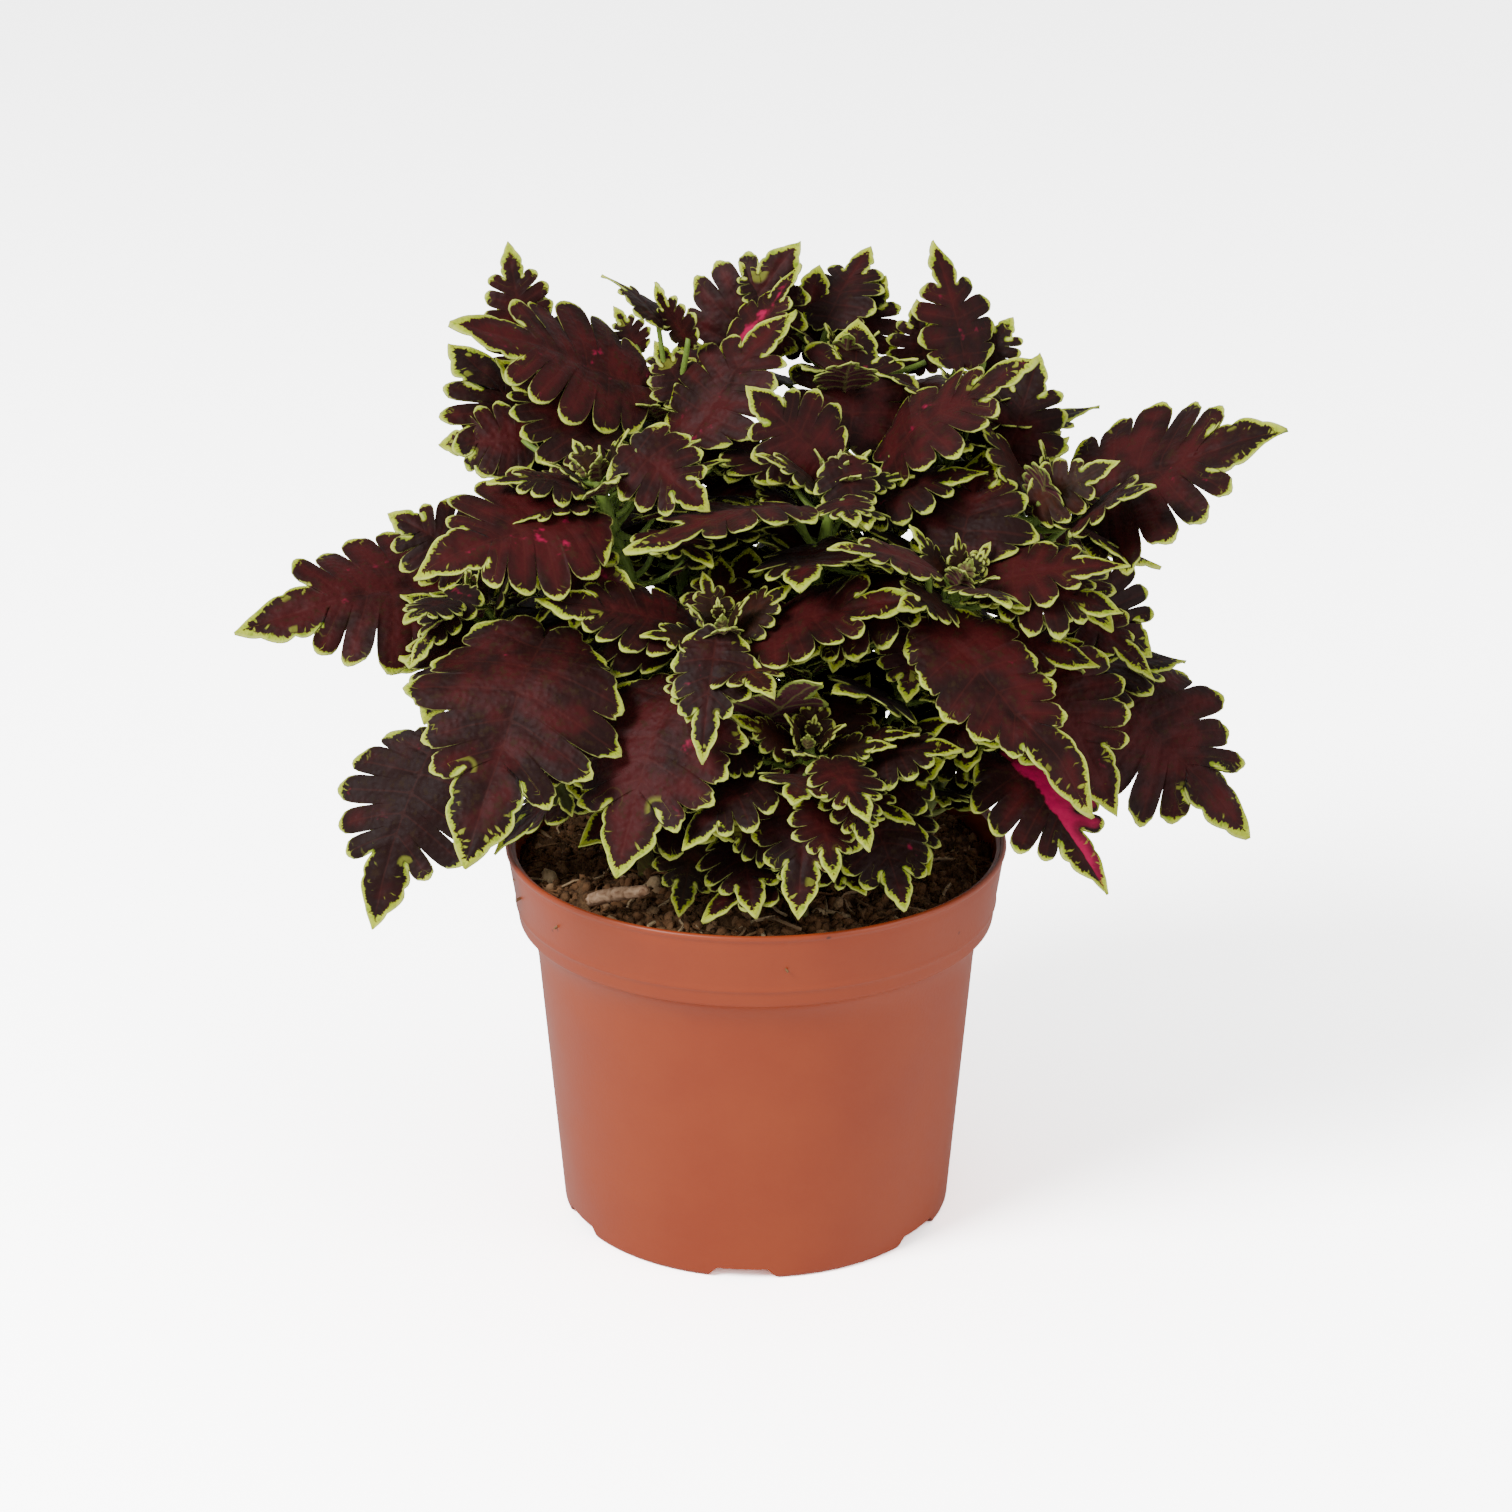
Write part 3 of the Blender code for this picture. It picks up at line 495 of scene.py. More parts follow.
def cad_blade(blade):
    """The CAD blade's corners, base row to tip row, six to a row."""
    shares = [(lobe + phase) / blade.lobes for lobe in range(blade.lobes) for phase in LOBE_PHASES]
    rows = [side_edge(blade, s) for s in shares] + [end_edge(blade, s) for s in END_LOBE_STEPS]
    mid, reach, y = np.array(rows).T * blade.length
    x = np.maximum(reach, TIP_HALF_WIDTH)
    half = BLADE_THICKNESS / 2 * np.array((-1, -1, -1, 1, 1, 1))
    xs = np.stack([-x, 0 * x, x, x, 0 * x, -x], axis=1)
    ys = np.stack([y, mid, y, y, mid, y], axis=1)
    return on_blade(blade, xs, ys, half).reshape(-1, 3)


def blade_faces(blade):
    """Quads that join the CAD blade's rows into a closed shell."""
    rows = blade.lobes * len(LOBE_PHASES) + len(END_LOBE_STEPS)
    faces = [(r * 6 + i, r * 6 + (i + 1) % 6, r * 6 + 6 + (i + 1) % 6, r * 6 + 6 + i)
             for r, i in product(range(rows - 1), range(6))]
    return faces + [tuple(range(6)), tuple(range(rows * 6 - 6, rows * 6))]


# ---- Where each CAD blade lies ----

Pose = namedtuple("Pose", "scale turn shift")
TIP_CLUSTER = 1.0       # the tip's six corners lie this close together
FIT_SPINS = 16
FIT_TILTS = (-0.2, 0.0, 0.2)
FIT_ROUNDS = 40
FIT_STARTS = 5


def lay_on(model, target, free_scale):
    """The scale, turn and shift that lay model points on target points, pair by pair."""
    model_middle, target_middle = model.mean(0), target.mean(0)
    u, s, v = np.linalg.svd((target - target_middle).T @ (model - model_middle))
    mirror = np.array([1, 1, np.sign(np.linalg.det(u @ v))])
    turn = u @ np.diag(mirror) @ v
    scale = (s * mirror).sum() / ((model - model_middle) ** 2).sum() if free_scale else 1.0
    return Pose(scale, turn, target_middle - scale * turn @ model_middle)


def placed(pose, points):
    """Points moved from a blade's own axes to where the pose puts them."""
    return pose.scale * np.asarray(points) @ pose.turn.T + pose.shift


def nearest(points, corners):
    """For each point, the gap to the nearest corner and which corner that is."""
    gaps = np.linalg.norm(points[:, None] - corners[None], axis=2)
    return gaps.min(1), gaps.argmin(1)


def find_blade(blade, corners):
    """The pose that lays the blade on its node's corners, and the corners left for the stalk."""
    model = cad_blade(blade)
    close = np.linalg.norm(corners[:, None] - corners[None], axis=2) < TIP_CLUSTER
    tip = corners[close[close.sum(1).argmax()]].mean(0)
    model_tip = model[-6:].mean(0)
    axis = Vector(corners.mean(0) - tip).normalized()
    first = Vector(model.mean(0) - model_tip).rotation_difference(axis)
    side = axis.orthogonal().normalized()
    other = axis.cross(side)
    starts = []
    for spin, a, b in product(range(FIT_SPINS), FIT_TILTS, FIT_TILTS):
        turn = Quaternion(side, a) @ Quaternion(other, b) @ Quaternion(axis, 2 * pi * spin / FIT_SPINS)
        turn = np.array((turn @ first).to_matrix())
        pose = Pose(1.0, turn, tip - turn @ model_tip)
        cost = np.minimum(nearest(placed(pose, model), corners)[0], 4.0).mean()
        starts.append((cost, len(starts), pose))
    best = None
    for _, _, pose in sorted(starts)[:FIT_STARTS]:
        for i in range(FIT_ROUNDS):
            gaps, picks = nearest(placed(pose, model), corners)
            kept = gaps <= max(np.median(gaps) * 2.5, 0.05)
            pose = lay_on(model[kept], corners[picks[kept]], i > FIT_ROUNDS // 2)
        miss = nearest(placed(pose, model), corners)[0].max()
        if best is None or miss < best[0]:
            best = (miss, pose)
    miss, pose = best
    rest = corners[nearest(corners, placed(pose, model))[0] > 0.15]
    return miss, pose, rest


# ---- Fine blade ----

ROWS_BASE = 5
FLATTEN = 0.25          # how much less the edges droop than the CAD blade's
COLUMNS = (0, 0.08, 0.2, 0.34, 0.48, 0.62, 0.74, 0.84, 0.92, 0.97, 1.0)
LOBE_STEPS = (0, 0.035, 0.08, 0.15, 0.25, 0.37, 0.5, 0.63, 0.75, 0.85, 0.92, 0.965)
FEW_LOBE_STEPS = (0, 0.06, 0.16, 0.3, 0.5, 0.7, 0.84, 0.94)
ROWS_END = 18
FEW_COLUMNS = (0, 0.15, 0.4, 0.65, 0.85, 1.0)
FEW_ROWS_END = 10


def fine_rows(blade, steps, rows_end, habit):
    """Rows across the blade: midrib place, and for each side the edge point, lobe phase and tip."""
    rng = habit["rng"]
    lobes = blade.lobes
    jitter = rng.uniform(-1, 1, (2, lobes, 3))
    rows = []
    first = BLADE_HALF_WIDTH * blade.width * ENVELOPE[0] * (1 - SINUS[0])
    for i in range(ROWS_BASE):
        u = i / ROWS_BASE
        angle = radians(-78 + (78 + SWEEP_BASE) * u)
        reach = first * (0.3 + 0.7 * sin(u * pi / 2))
        edge = (reach * cos(angle), reach * sin(angle), 0.0, 0.1)
        rows.append((0.0, edge, edge, 0.0, 0.0))
    for lobe, phase in product(range(lobes), steps):
        share = (lobe + phase) / lobes
        off = abs(2 * phase - 1)
        sinus = min(read_row(SINUS, share) * habit["cut"], 0.7, 0.98 - 0.48 * share)
        roundness = min(0.29 / sinus, 0.85)
        bulge = 1 - roundness * (1 - (1 - off * off) ** 0.5) - (1 - roundness) * off ** 8
        edges = []
        for flank in (0, 1):
            longer, _, lean = jitter[flank, lobe]
            reach = BLADE_HALF_WIDTH * blade.width * read_row(ENVELOPE, share)
            reach *= (1 - sinus * (1 - bulge)) * (habit["reach"] + 0.08 * longer * bulge)
            reach *= 1 + habit["scallop"] * (abs(cos(2 * pi * phase)) - 0.5) * bulge
            sweep = SWEEP_BASE + (SWEEP_END - SWEEP_BASE) * share + 5 * lean * sin(pi * phase)
            sweep = radians(sweep + habit["sweep"] * share)
            start = MIDRIB_SHARE * share
            tip = 0.9 * max(1 - 1.3 * off, 0.0) ** 0.9
            edges.append((reach * cos(sweep), start + reach * sin(sweep), bulge, tip))
        rows.append((MIDRIB_SHARE * share, edges[0], edges[1], phase, 1.0))
    waist = habit["waist"]
    for i in range(rows_end + 1):
        share = i / rows_end
        start = MIDRIB_SHARE + (1 - MIDRIB_SHARE) * share
        along = END_LOBE_START + (1 - END_LOBE_START) * share
        spread = min(share / 0.42, 1.0)
        spread = spread * spread * (3 - 2 * spread)
        half = (waist + (0.16 - waist) * spread) * blade.width * (1 - share ** 1.7) ** 0.9
        tooth = abs(sin(pi * (2.6 * share + 0.1))) ** 0.6
        half *= 1 + 0.34 * (tooth - 0.65) * (1 - share) ** 0.5
        edge = (half, along, tooth, 0.12 + 0.5 * tooth * (1 - share) + 0.85 * share ** 1.6)
        rows.append((start, edge, edge, share * 2.6 % 1.0, 0.5))
    return rows


def smooth_waves(rng, count, longest, shortest):
    """A few random plane waves whose sum is a soft, uneven relief."""
    angles = rng.uniform(0, 2 * pi, count)
    lengths = rng.uniform(shortest, longest, count)
    starts = rng.uniform(0, 2 * pi, count)
    return np.cos(angles) / lengths * 2 * pi, np.sin(angles) / lengths * 2 * pi, starts


def relief(waves, x, y):
    """The height of the relief at x and y, within 1 either way."""
    kx, ky, start = waves
    return np.sin(x[..., None] * kx + y[..., None] * ky + start).mean(-1)


def fine_blade(blade, habit, columns=COLUMNS, steps=LOBE_STEPS, rows_end=ROWS_END):
    """A closed, veined, ruffled blade shell in its own axes, with its point values."""
    rng = habit["rng"]
    rows = fine_rows(blade, steps, rows_end, habit)
    length = blade.length
    t = np.array(columns)
    places = []             # per side: x, y and lobe bulge at each row and column, and each row's tip
    for flank, sign in ((0, -1.0), (1, 1.0)):
        start = np.array([row[0] for row in rows])[:, None] * length
        edge = np.array([row[1 + flank] for row in rows])
        reach = np.maximum(edge[:, 0] * length, 0.12)[:, None]
        x = sign * reach * t
        y = start + (edge[:, 1][:, None] * length - start) * t ** 1.2
        places.append((x, y, edge[:, 2][:, None] * np.ones_like(t), edge[:, 3]))
    # One row runs from the left edge over the midrib to the right edge
    x = np.concatenate([places[0][0][:, ::-1], places[1][0][:, 1:]], axis=1)
    y = np.concatenate([places[0][1][:, ::-1], places[1][1][:, 1:]], axis=1)
    bulge = np.concatenate([places[0][2][:, ::-1], places[1][2][:, 1:]], axis=1)
    reach_share = np.concatenate([t[::-1], t[1:]])
    phase = np.array([row[3] for row in rows])[:, None]
    veined = np.array([row[4] for row in rows])[:, None]
    # Distance to the nearest vein
    spacing = length * (MIDRIB_SHARE / blade.lobes) * (1 - reach_share) + 0.15 * length * reach_share
    lateral = abs(phase - 0.5) * spacing + (1 - veined) * 4.0
    vein = np.minimum(abs(x), lateral)
    # Distance to the edge, and place along it
    edges = []
    for across, forward, _, tips in places:
        xs = across[:, -1]
        ys = forward[:, -1]
        run = np.concatenate([[0], np.cumsum(np.hypot(np.diff(xs), np.diff(ys)))])
        index = np.arange(len(xs))
        fine = np.arange(0, len(xs) - 1, 0.25)
        edges.append(np.stack([np.interp(fine, index, v) for v in (xs, ys, run, tips)]))
    edge = np.concatenate(edges, axis=1)
    gaps = np.hypot(x.reshape(-1, 1) - edge[0], y.reshape(-1, 1) - edge[1])
    picks = gaps.argmin(1)
    margin = gaps.min(1).reshape(x.shape)
    along = edge[2][picks].reshape(x.shape)
    tip = edge[3][picks].reshape(x.shape)
    # Height: veins sink, the cells between them puff up, lobes curl and the edge ruffles
    inner = np.clip(margin / 3.0, 0, 1)
    puff = relief(smooth_waves(rng, 9, 9.0, 4.0), x, y) * 0.9
    size = min(length / 40, 1.2)
    lift = size * inner * (0.45 * puff - 0.22 * np.exp(-(vein / 0.8) ** 2) + 0.2)
    side_phase = np.where(x < 0, habit["ruffle"][0], habit["ruffle"][1])
    wave = np.sin(pi * (np.arange(len(rows))[:, None] / len(steps)) + side_phase)
    lift = lift + size * reach_share ** 2.5 * (0.7 * wave - 0.7 * bulge * (0.5 + 0.5 * habit["curl"]))
    lift = lift + relief(smooth_waves(rng, 4, 40.0, 22.0), x, y) * 1.6 * size
    lift = lift + x * habit["twist"] * (y / length - 0.3) + FLATTEN * x * x / length
    bent = x + habit["bend"] * length * np.clip(y / length, 0, 1) ** 2
    thick = 0.42 - 0.14 * reach_share
    rib = 0.7 * np.exp(-(x / 0.7) ** 2) * np.clip(1.1 - y / length, 0, 1)
    rib = rib + 0.25 * np.exp(-(lateral / 0.5) ** 2) * (1 - reach_share)
    top = on_blade(blade, bent, y, lift)
    low = on_blade(blade, bent, y, lift - thick - rib)
    count, wide = x.shape
    points = np.concatenate([top.reshape(-1, 3), low.reshape(-1, 3)])
    under = count * wide
    grid = np.arange(count * wide).reshape(count, wide)
    quads = np.stack([grid[:-1, :-1], grid[:-1, 1:], grid[1:, 1:], grid[1:, :-1]], axis=-1).reshape(-1, 4)
    faces = quads.tolist() + (quads[:, ::-1] + under).tolist()
    rim = list(grid[:, -1]) + list(grid[-1, -2::-1]) + list(grid[-2::-1, 0]) + list(grid[0, 1:-1])
    for a, b in zip(rim, rim[1:] + rim[:1]):
        faces.append((int(b), int(a), int(a + under), int(b + under)))
    # The green band is broad and deeply toothed at lobe tips and a thin line between them
    smaller = 1 - 0.55 * min(habit["young"], 1.0)
    teeth = (3.8 * tip + 0.3) * smaller
    values = {"margin": margin, "along": along, "vein": vein, "tip": tip, "teeth": teeth,
              "inset": margin - (1.65 * tip + 0.02) * smaller - teeth / 2}
    values = {key: np.tile(value.reshape(-1), 2) for key, value in values.items()}
    values["under"] = np.repeat([0.0, 1.0], under)
    values["tint"] = habit["tint"]
    pinks = habit["pink"] * np.clip(1.2 - abs(x) / (0.2 * length) - y / length, 0, 1)
    if habit["pink"] > 1:
        pinks = np.clip(0.5 + x * habit["pink_side"] * 1.5, 0, 1)
    values["pink"] = np.tile(pinks.reshape(-1), 2)
    values["young"] = habit["young"]
    return points, faces, values


def new_habit(seed, **given):
    """How one leaf differs from the next."""
    rng = np.random.default_rng(seed)
    habit = {
        "rng": rng, "tint": rng.uniform(0, 1), "pink": 0.0, "pink_side": 1.0, "young": 0.0,
        "cut": rng.uniform(1.2, 1.6), "scallop": rng.uniform(0.01, 0.06), "sweep": rng.uniform(-15, -7),
        "reach": 1.06, "lower": 0.0, "waist": rng.uniform(0.1, 0.12),
        "ruffle": rng.uniform(0, 2 * pi, 2), "curl": rng.uniform(-0.3, 1.0),
        "twist": rng.uniform(-0.16, 0.16), "bend": rng.uniform(-0.04, 0.04)}
    habit.update(given)
    return habit


def stalk_tube(root, middle, collar, radius, level):
    """A leaf stalk from a stem to its blade, thickest where it leaves the stem and tapering to the blade."""
    control = 2 * np.asarray(middle) - (np.asarray(root) + np.asarray(collar)) / 2
    u = np.linspace(0, 1, 15)[:, None]
    centres = (1 - u) ** 2 * root + 2 * u * (1 - u) * control + u ** 2 * np.asarray(collar)
    radii = radius * (1 + 0.45 * (1 - u[:, 0]) ** 6 - 0.12 * u[:, 0])
    return tube(centres, radii, 10, squash=0.85, level=level)


# name: blade length, width, arch and lobes as the CAD has them, then how it differs
LEAVES = {
    "left_long": (Blade(53, 0.95, 20, 5), {"cut": 1.15}),
    "right_long": (Blade(51, 1.10, 15, 5), {"cut": 1.3, "tint": 0.5, "lower": 5.0, "curl": -1.5}),
    "front_left_big": (Blade(59, 1.05, 28, 5), {"cut": 1.0, "tint": 0.25, "scallop": 0.07, "reach": 0.95}),
    "front_right_big": (Blade(58, 0.72, 28, 5), {"cut": 0.9, "tint": 0.7, "scallop": 0.07, "reach": 0.86}),
    "front_mid": (Blade(45, 1.22, 28, 5), {"cut": 0.75, "tint": 0.6, "scallop": 0.07, "reach": 0.9}),
    "upper_left": (Blade(49, 1.00, 18, 5), {"pink": 0.2, "tint": 0.8}),
    "a_left": (Blade(45, 1.05, 20, 5), {"pink": 0.3, "tint": 0.9}),
    "j_front": (Blade(42, 0.95, 18, 5), {"pink": 0.3, "tint": 0.7}),
    "i_front": (Blade(34, 1.20, 18, 4), {"tint": 0.5}),
    "h_right": (Blade(40, 0.85, 18, 5), {"pink": 0.3, "tint": 0.85}),
    "a_up": (Blade(35, 0.95, 18, 5), {"tint": 0.4}),
    "c_up": (Blade(30, 1.20, 16, 4), {"tint": 0.2}),
    "b_front": (Blade(48, 0.85, 30, 5), {"tint": 0.6}),
    "e_right": (Blade(41, 0.95, 22, 5), {"tint": 0.7}),
    "e_left": (Blade(36, 0.95, 22, 5), {"tint": 0.4}),
    "e_up": (Blade(24, 1.20, 16, 4), {"tint": 0.2}),
    "e_down": (Blade(31, 0.75, 24, 4), {"tint": 0.2, "cut": 1.3}),
    "f_down": (Blade(34, 0.95, 26, 4), {"tint": 0.6}),
    "f_right": (Blade(20, 0.80, 20, 4), {"tint": 0.5}),
    "c_right": (Blade(34, 0.90, 18, 4), {}),
    "c_left": (Blade(27, 0.80, 18, 4), {}),
    "k_far": (Blade(50, 1.10, 22, 5), {"cut": 1.2}),
    "k_mid": (Blade(44, 0.95, 24, 5), {}),
    "k_low": (Blade(42, 0.90, 22, 5), {"pink": 2.0, "pink_side": -1.0, "tint": 0.1, "lower": -8.0}),
    "k_side": (Blade(31, 0.70, 22, 4), {}),
    "left_low": (Blade(46, 0.95, 24, 5), {"tint": 0.1}),
    "g_low": (Blade(24, 0.75, 22, 4), {}),
    "a_side": (Blade(42, 1.10, 18, 5), {}),
    "upper_back_left": (Blade(33, 0.90, 16, 4), {"tint": 0.9}),
    "top_mid": (Blade(28, 0.85, 18, 4), {"pink": 1.0, "tint": 0.9}),
    "top_back": (Blade(26, 1.00, 18, 4), {"tint": 0.2}),
    "top_right": (Blade(31, 0.85, 18, 4), {}),
    "d_up": (Blade(30, 1.00, 18, 4), {}),
    "low_right": (Blade(26, 1.10, 22, 4), {"cut": 0.5, "tint": 0.0}),
    "m_left": (Blade(46, 0.95, 24, 5), {}),
    "m_right": (Blade(46, 0.95, 26, 5), {}),
    "m_low": (Blade(46, 1.00, 28, 5), {}),
    "n_left": (Blade(50, 0.90, 24, 5), {}),
    "n_back": (Blade(48, 1.00, 28, 5), {}),
    "n_low": (Blade(46, 0.95, 26, 5), {}),
    "p_right": (Blade(50, 0.90, 24, 5), {}),
    "p_back": (Blade(47, 1.00, 28, 5), {}),
    "p_low": (Blade(46, 0.95, 26, 5), {}),
}
STALK_RADIUS = 1.0
THIN_STALK_RADIUS = 0.8
YOUNG_STALK_RADIUS = 0.6


def make_leaves():
    """One piece for each full-size leaf: its blade and its stalk."""
    for order, (name, (blade, given)) in enumerate(LEAVES.items()):
        node = "leaf_" + name
        miss, pose, rest = find_blade(blade, node_corners(node))
        if miss > 0.2 or len(rest) != 18:
            print("leaf", name, "lies", round(miss, 3), "mm off its node, with", len(rest), "stalk corners")
        batch = Batch(LEAF_KEYS)
        habit = new_habit(100 + order, **given)
        lowering = np.array(Quaternion((0, 1, 0), radians(habit["lower"])).to_matrix())
        pose = pose._replace(turn=lowering @ pose.turn)
        points, faces, values = fine_blade(blade, habit)
        batch.add(placed(pose, points), faces, 0, values)
        away = np.linalg.norm(rest - pose.shift, axis=1).argsort()
        collar, middle, root = (rest[away[i:i + 6]].mean(0) for i in (0, 6, 12))
        root = root + unit(root - middle) * 0.9
        collar = collar + unit(pose.turn[:, 1]) * 2.6 - pose.turn[:, 2] * 0.6
        stalk, stalk_faces = stalk_tube(root, middle, collar, STALK_RADIUS, pose.turn[:, 2])
        batch.add(stalk, outward(stalk, stalk_faces), 1)
        piece = batch.make("blade_" + name, [LEAF, STEM])
        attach(piece, "root")
        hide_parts(node)


# ---- Stems and their young leaves ----

Stem = namedtuple("Stem", "root lean height")
STEM_LETTERS = "abcdefghijkmnp"
STEM_BOW = 1.5
STEM_ROOT_RADIUS = 2.5
STEM_TOP_RADIUS = 1.4
STEM_JOINTS = np.array([0.18, 0.36, 0.52, 0.66, 0.78, 0.88, 0.96])
# A shoot tip's pairs of young leaves: length, opening in degrees, rise above the tip, youth
YOUNG_PAIRS = ((23, 74, -2.5, 0.15), (17, 60, 0.0, 0.3), (12, 46, 1.8, 0.45), (8.5, 32, 3.0, 0.6),
               (5.5, 16, 4.2, 0.7))


def read_stem(letter):
    """A stem's root, lean and height, from the rings of its CAD node."""
    corners = node_corners("stem_" + letter)
    low = corners[corners[:, 2].argsort()[:8]].mean(0)
    order = np.linalg.norm(corners - low, axis=1).argsort()
    shares = np.array((0.2, 0.4, 0.6, 0.8))
    centres = np.array([corners[order[8 * i:8 * i + 8]].mean(0) for i in (1, 2, 3, 4)])
    height, foot = np.polyfit(shares, centres[:, 2], 1)
    lean, root = np.polyfit(shares ** STEM_BOW, centres[:, :2], 1)
    return Stem(np.array([*root, foot]), np.array([*lean, 0.0]), height)


def stem_point(stem, share):
    """A point on the stem's centre line, from 0 at its root to 1 at its top."""
    return stem.root + stem.lean * share ** STEM_BOW + np.array([0, 0, stem.height * share])


def stem_direction(stem, share):
    """The way the stem grows at a share of its length."""
    return unit(stem_point(stem, share + 0.02) - stem_point(stem, share - 0.02 if share > 0.02 else 0.0))


def leaf_turn(forward, roll, flat=(0, 0, 1)):
    """Side, forward and up axes as columns, for a blade that points forward."""
    forward = unit(forward)
    side = np.cross(forward, flat)
    side = unit(side) if np.linalg.norm(side) > 0.1 else unit(np.cross(forward, (0, 1, 0.2)))
    up = np.cross(side, forward)
    side, up = side * cos(roll) + up * sin(roll), up * cos(roll) - side * sin(roll)
    return np.stack([side, forward, up], axis=1)


def add_young_leaves(batch, stem, rng):
    """Pairs of young leaves at a stem's top, each pair across the one below and smaller."""
    top = stem_point(stem, 1.0)
    axis = stem_direction(stem, 1.0)
    first = rng.uniform(0, pi)
    across = unit(np.cross(axis, (0.2, 0.1, 1) if abs(axis[2]) < 0.9 else (1, 0.2, 0)))
    other = np.cross(axis, across)
    for pair, (length, open_angle, rise, young) in enumerate(YOUNG_PAIRS):
        for twin in (0, 1):
            heading = first + pair * pi / 2 + twin * pi + rng.uniform(-0.25, 0.25)
            out = across * cos(heading) + other * sin(heading)
            tilt = radians(open_angle + rng.uniform(-9, 9))
            forward = axis * cos(tilt) + out * sin(tilt)
            turn = leaf_turn(forward, 0.0, axis)
            lobes = 4 if pair < 2 else 3
            blade = Blade(length * rng.uniform(0.85, 1.15), rng.uniform(0.75, 1.0), 30, lobes)
            habit = new_habit(int(rng.integers(1e6)), young=young, curl=1.0)
            points, faces, values = fine_blade(blade, habit, FEW_COLUMNS, FEW_LOBE_STEPS, FEW_ROWS_END)
            base = top + axis * rise + out * (1.2 + 0.13 * length)
            batch.add(placed(Pose(1.0, turn, base), points), faces, 0, values)
            if pair < 3:
                root = top + axis * (rise - 1.0)
                stalk, stalk_faces = stalk_tube(root, (root + base) / 2 + out * 0.2,
                                                base + forward * 1.0, YOUNG_STALK_RADIUS, axis)
                batch.add(stalk, outward(stalk, stalk_faces), 1)


# stem, blade base and tip, width, the way its upper side faces, and how it differs
FRONT = (0.0, -0.75, 0.65)
PICKED = (
    ("d", (64, -8, 180), (83, -12, 192), 0.8, FRONT, {"young": 0.3}),
    ("a", (-48, -16, 171), (-27, -26, 165), 1.0, FRONT, {"pink": 0.9, "tint": 0.6}),
    ("e", (-14, -30, 109), (-17, -41, 91), 1.0, FRONT, {"tint": 0.0, "young": 0.3}),
    ("f", (4, -47, 114), (-10, -54, 118), 1.1, FRONT, {"tint": 0.4}),
    ("h", (-22, 22, 215), (-36, 30, 225), 0.8, (0.9, -0.35, 0.3), {"tint": 0.0, "cut": 0.8}),
    ("h", (-15, 20, 211), (-24, 26, 224), 0.9, (-0.8, -0.3, 0.3), {"tint": 0.3}),
    ("f", (26, -33, 119), (43, -36, 128), 1.3, FRONT, {"tint": 0.0, "cut": 0.6}),
    ("c", (42, -16, 127), (55, -24, 115), 1.0, FRONT, {"tint": 0.0}),
    ("c", (36, -33, 158), (34, -39, 143), 1.2, FRONT, {"tint": 0.3}),
    ("c", (21, -26, 160), (17, -35, 149), 1.2, FRONT, {"tint": 0.3}),
    ("g", (-47, -22, 121), (-43, -31, 112), 1.0, FRONT, {"young": 2.5, "cut": 0.5}),
    ("a", (-28, -14, 196), (-11, -24, 183), 1.15, FRONT, {"tint": 0.7}),
    ("b", (16, -4, 189), (-3, 2, 205), 1.15, FRONT, {"tint": 0.4}),
    ("b", (19, -12, 192), (25, -21, 178), 1.0, FRONT, {"tint": 0.3}),
    ("h", (-16, 20, 197), (-24, 26, 210), 1.0, FRONT, {"tint": 0.4}),
    ("i", (3, 40, 216), (-4, 44, 225), 1.0, FRONT, {"tint": 0.2}),
    ("h", (-8, 38, 205), (10, 44, 230), 1.1, FRONT, {"tint": 0.6}),
    ("i", (21, 44, 203), (31, 50, 220), 1.3, FRONT, {"tint": 0.2}),
    ("i", (11, 46, 202), (15, 52, 222), 1.3, FRONT, {"tint": 0.3}),
    ("j", (54, 40, 200), (62, 44, 211), 1.3, FRONT, {"tint": 0.1}),
    ("a", (-55, 30, 210), (-59, 34, 232), 0.9, FRONT, {"tint": 0.6}),
    ("a", (-53, 8, 191), (-74, 6, 190), 1.2, FRONT, {"tint": 0.6}),
    ("d", (76, -2, 158), (93, -4, 142), 1.3, FRONT, {"tint": 0.2}),
    ("h", (-28, 36, 205), (-34, 40, 215), 0.9, FRONT, {"tint": 0.5}),
    ("i", (41, 42, 199), (38, 46, 215), 1.2, FRONT, {"tint": 0.2}),
    ("g", (-67, -4, 166), (-86, 2, 175), 1.2, FRONT, {"tint": 0.4}),
)
RIM_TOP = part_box("pot")[1].z / MM
PLANT_LOW = np.array(cad_bounds[0]) / MM
PLANT_HIGH = np.array(cad_bounds[1]) / MM
FILL_SHARES = (0.3, 0.42, 0.54, 0.65, 0.75, 0.85, 0.93)
FILL_LENGTHS = (28, 42)
FILL_TRIES = 26
SMALL_FILLS = 16
SMALL_FILL_LENGTHS = (15, 25)


class Crowd:
    """Everything that a new leaf has to stay clear of."""

    def __init__(self):
        self.trees = []
        self.low = []
        self.high = []

    def add(self, tree, points):
        """Take in one more thing and the box it lies in."""
        self.trees.append(tree)
        self.low.append(points.min(0))
        self.high.append(points.max(0))

    def meets(self, tree, points):
        """Whether a new leaf cuts into anything here."""
        near = ((np.array(self.low) <= points.max(0)) & (np.array(self.high) >= points.min(0))).all(1)
        return any(self.trees[i].overlap(tree) for i in near.nonzero()[0])


def picked_blade(row):
    """The blade of a picked leaf and where it lies."""
    letter, base, tip, width, facing, given = row
    chord = np.subtract(tip, base)
    blade = Blade(np.linalg.norm(chord) * 1.01, width, 22, 4)
    return blade, Pose(1.0, leaf_turn(chord, 0.0, facing), np.array(base, float))


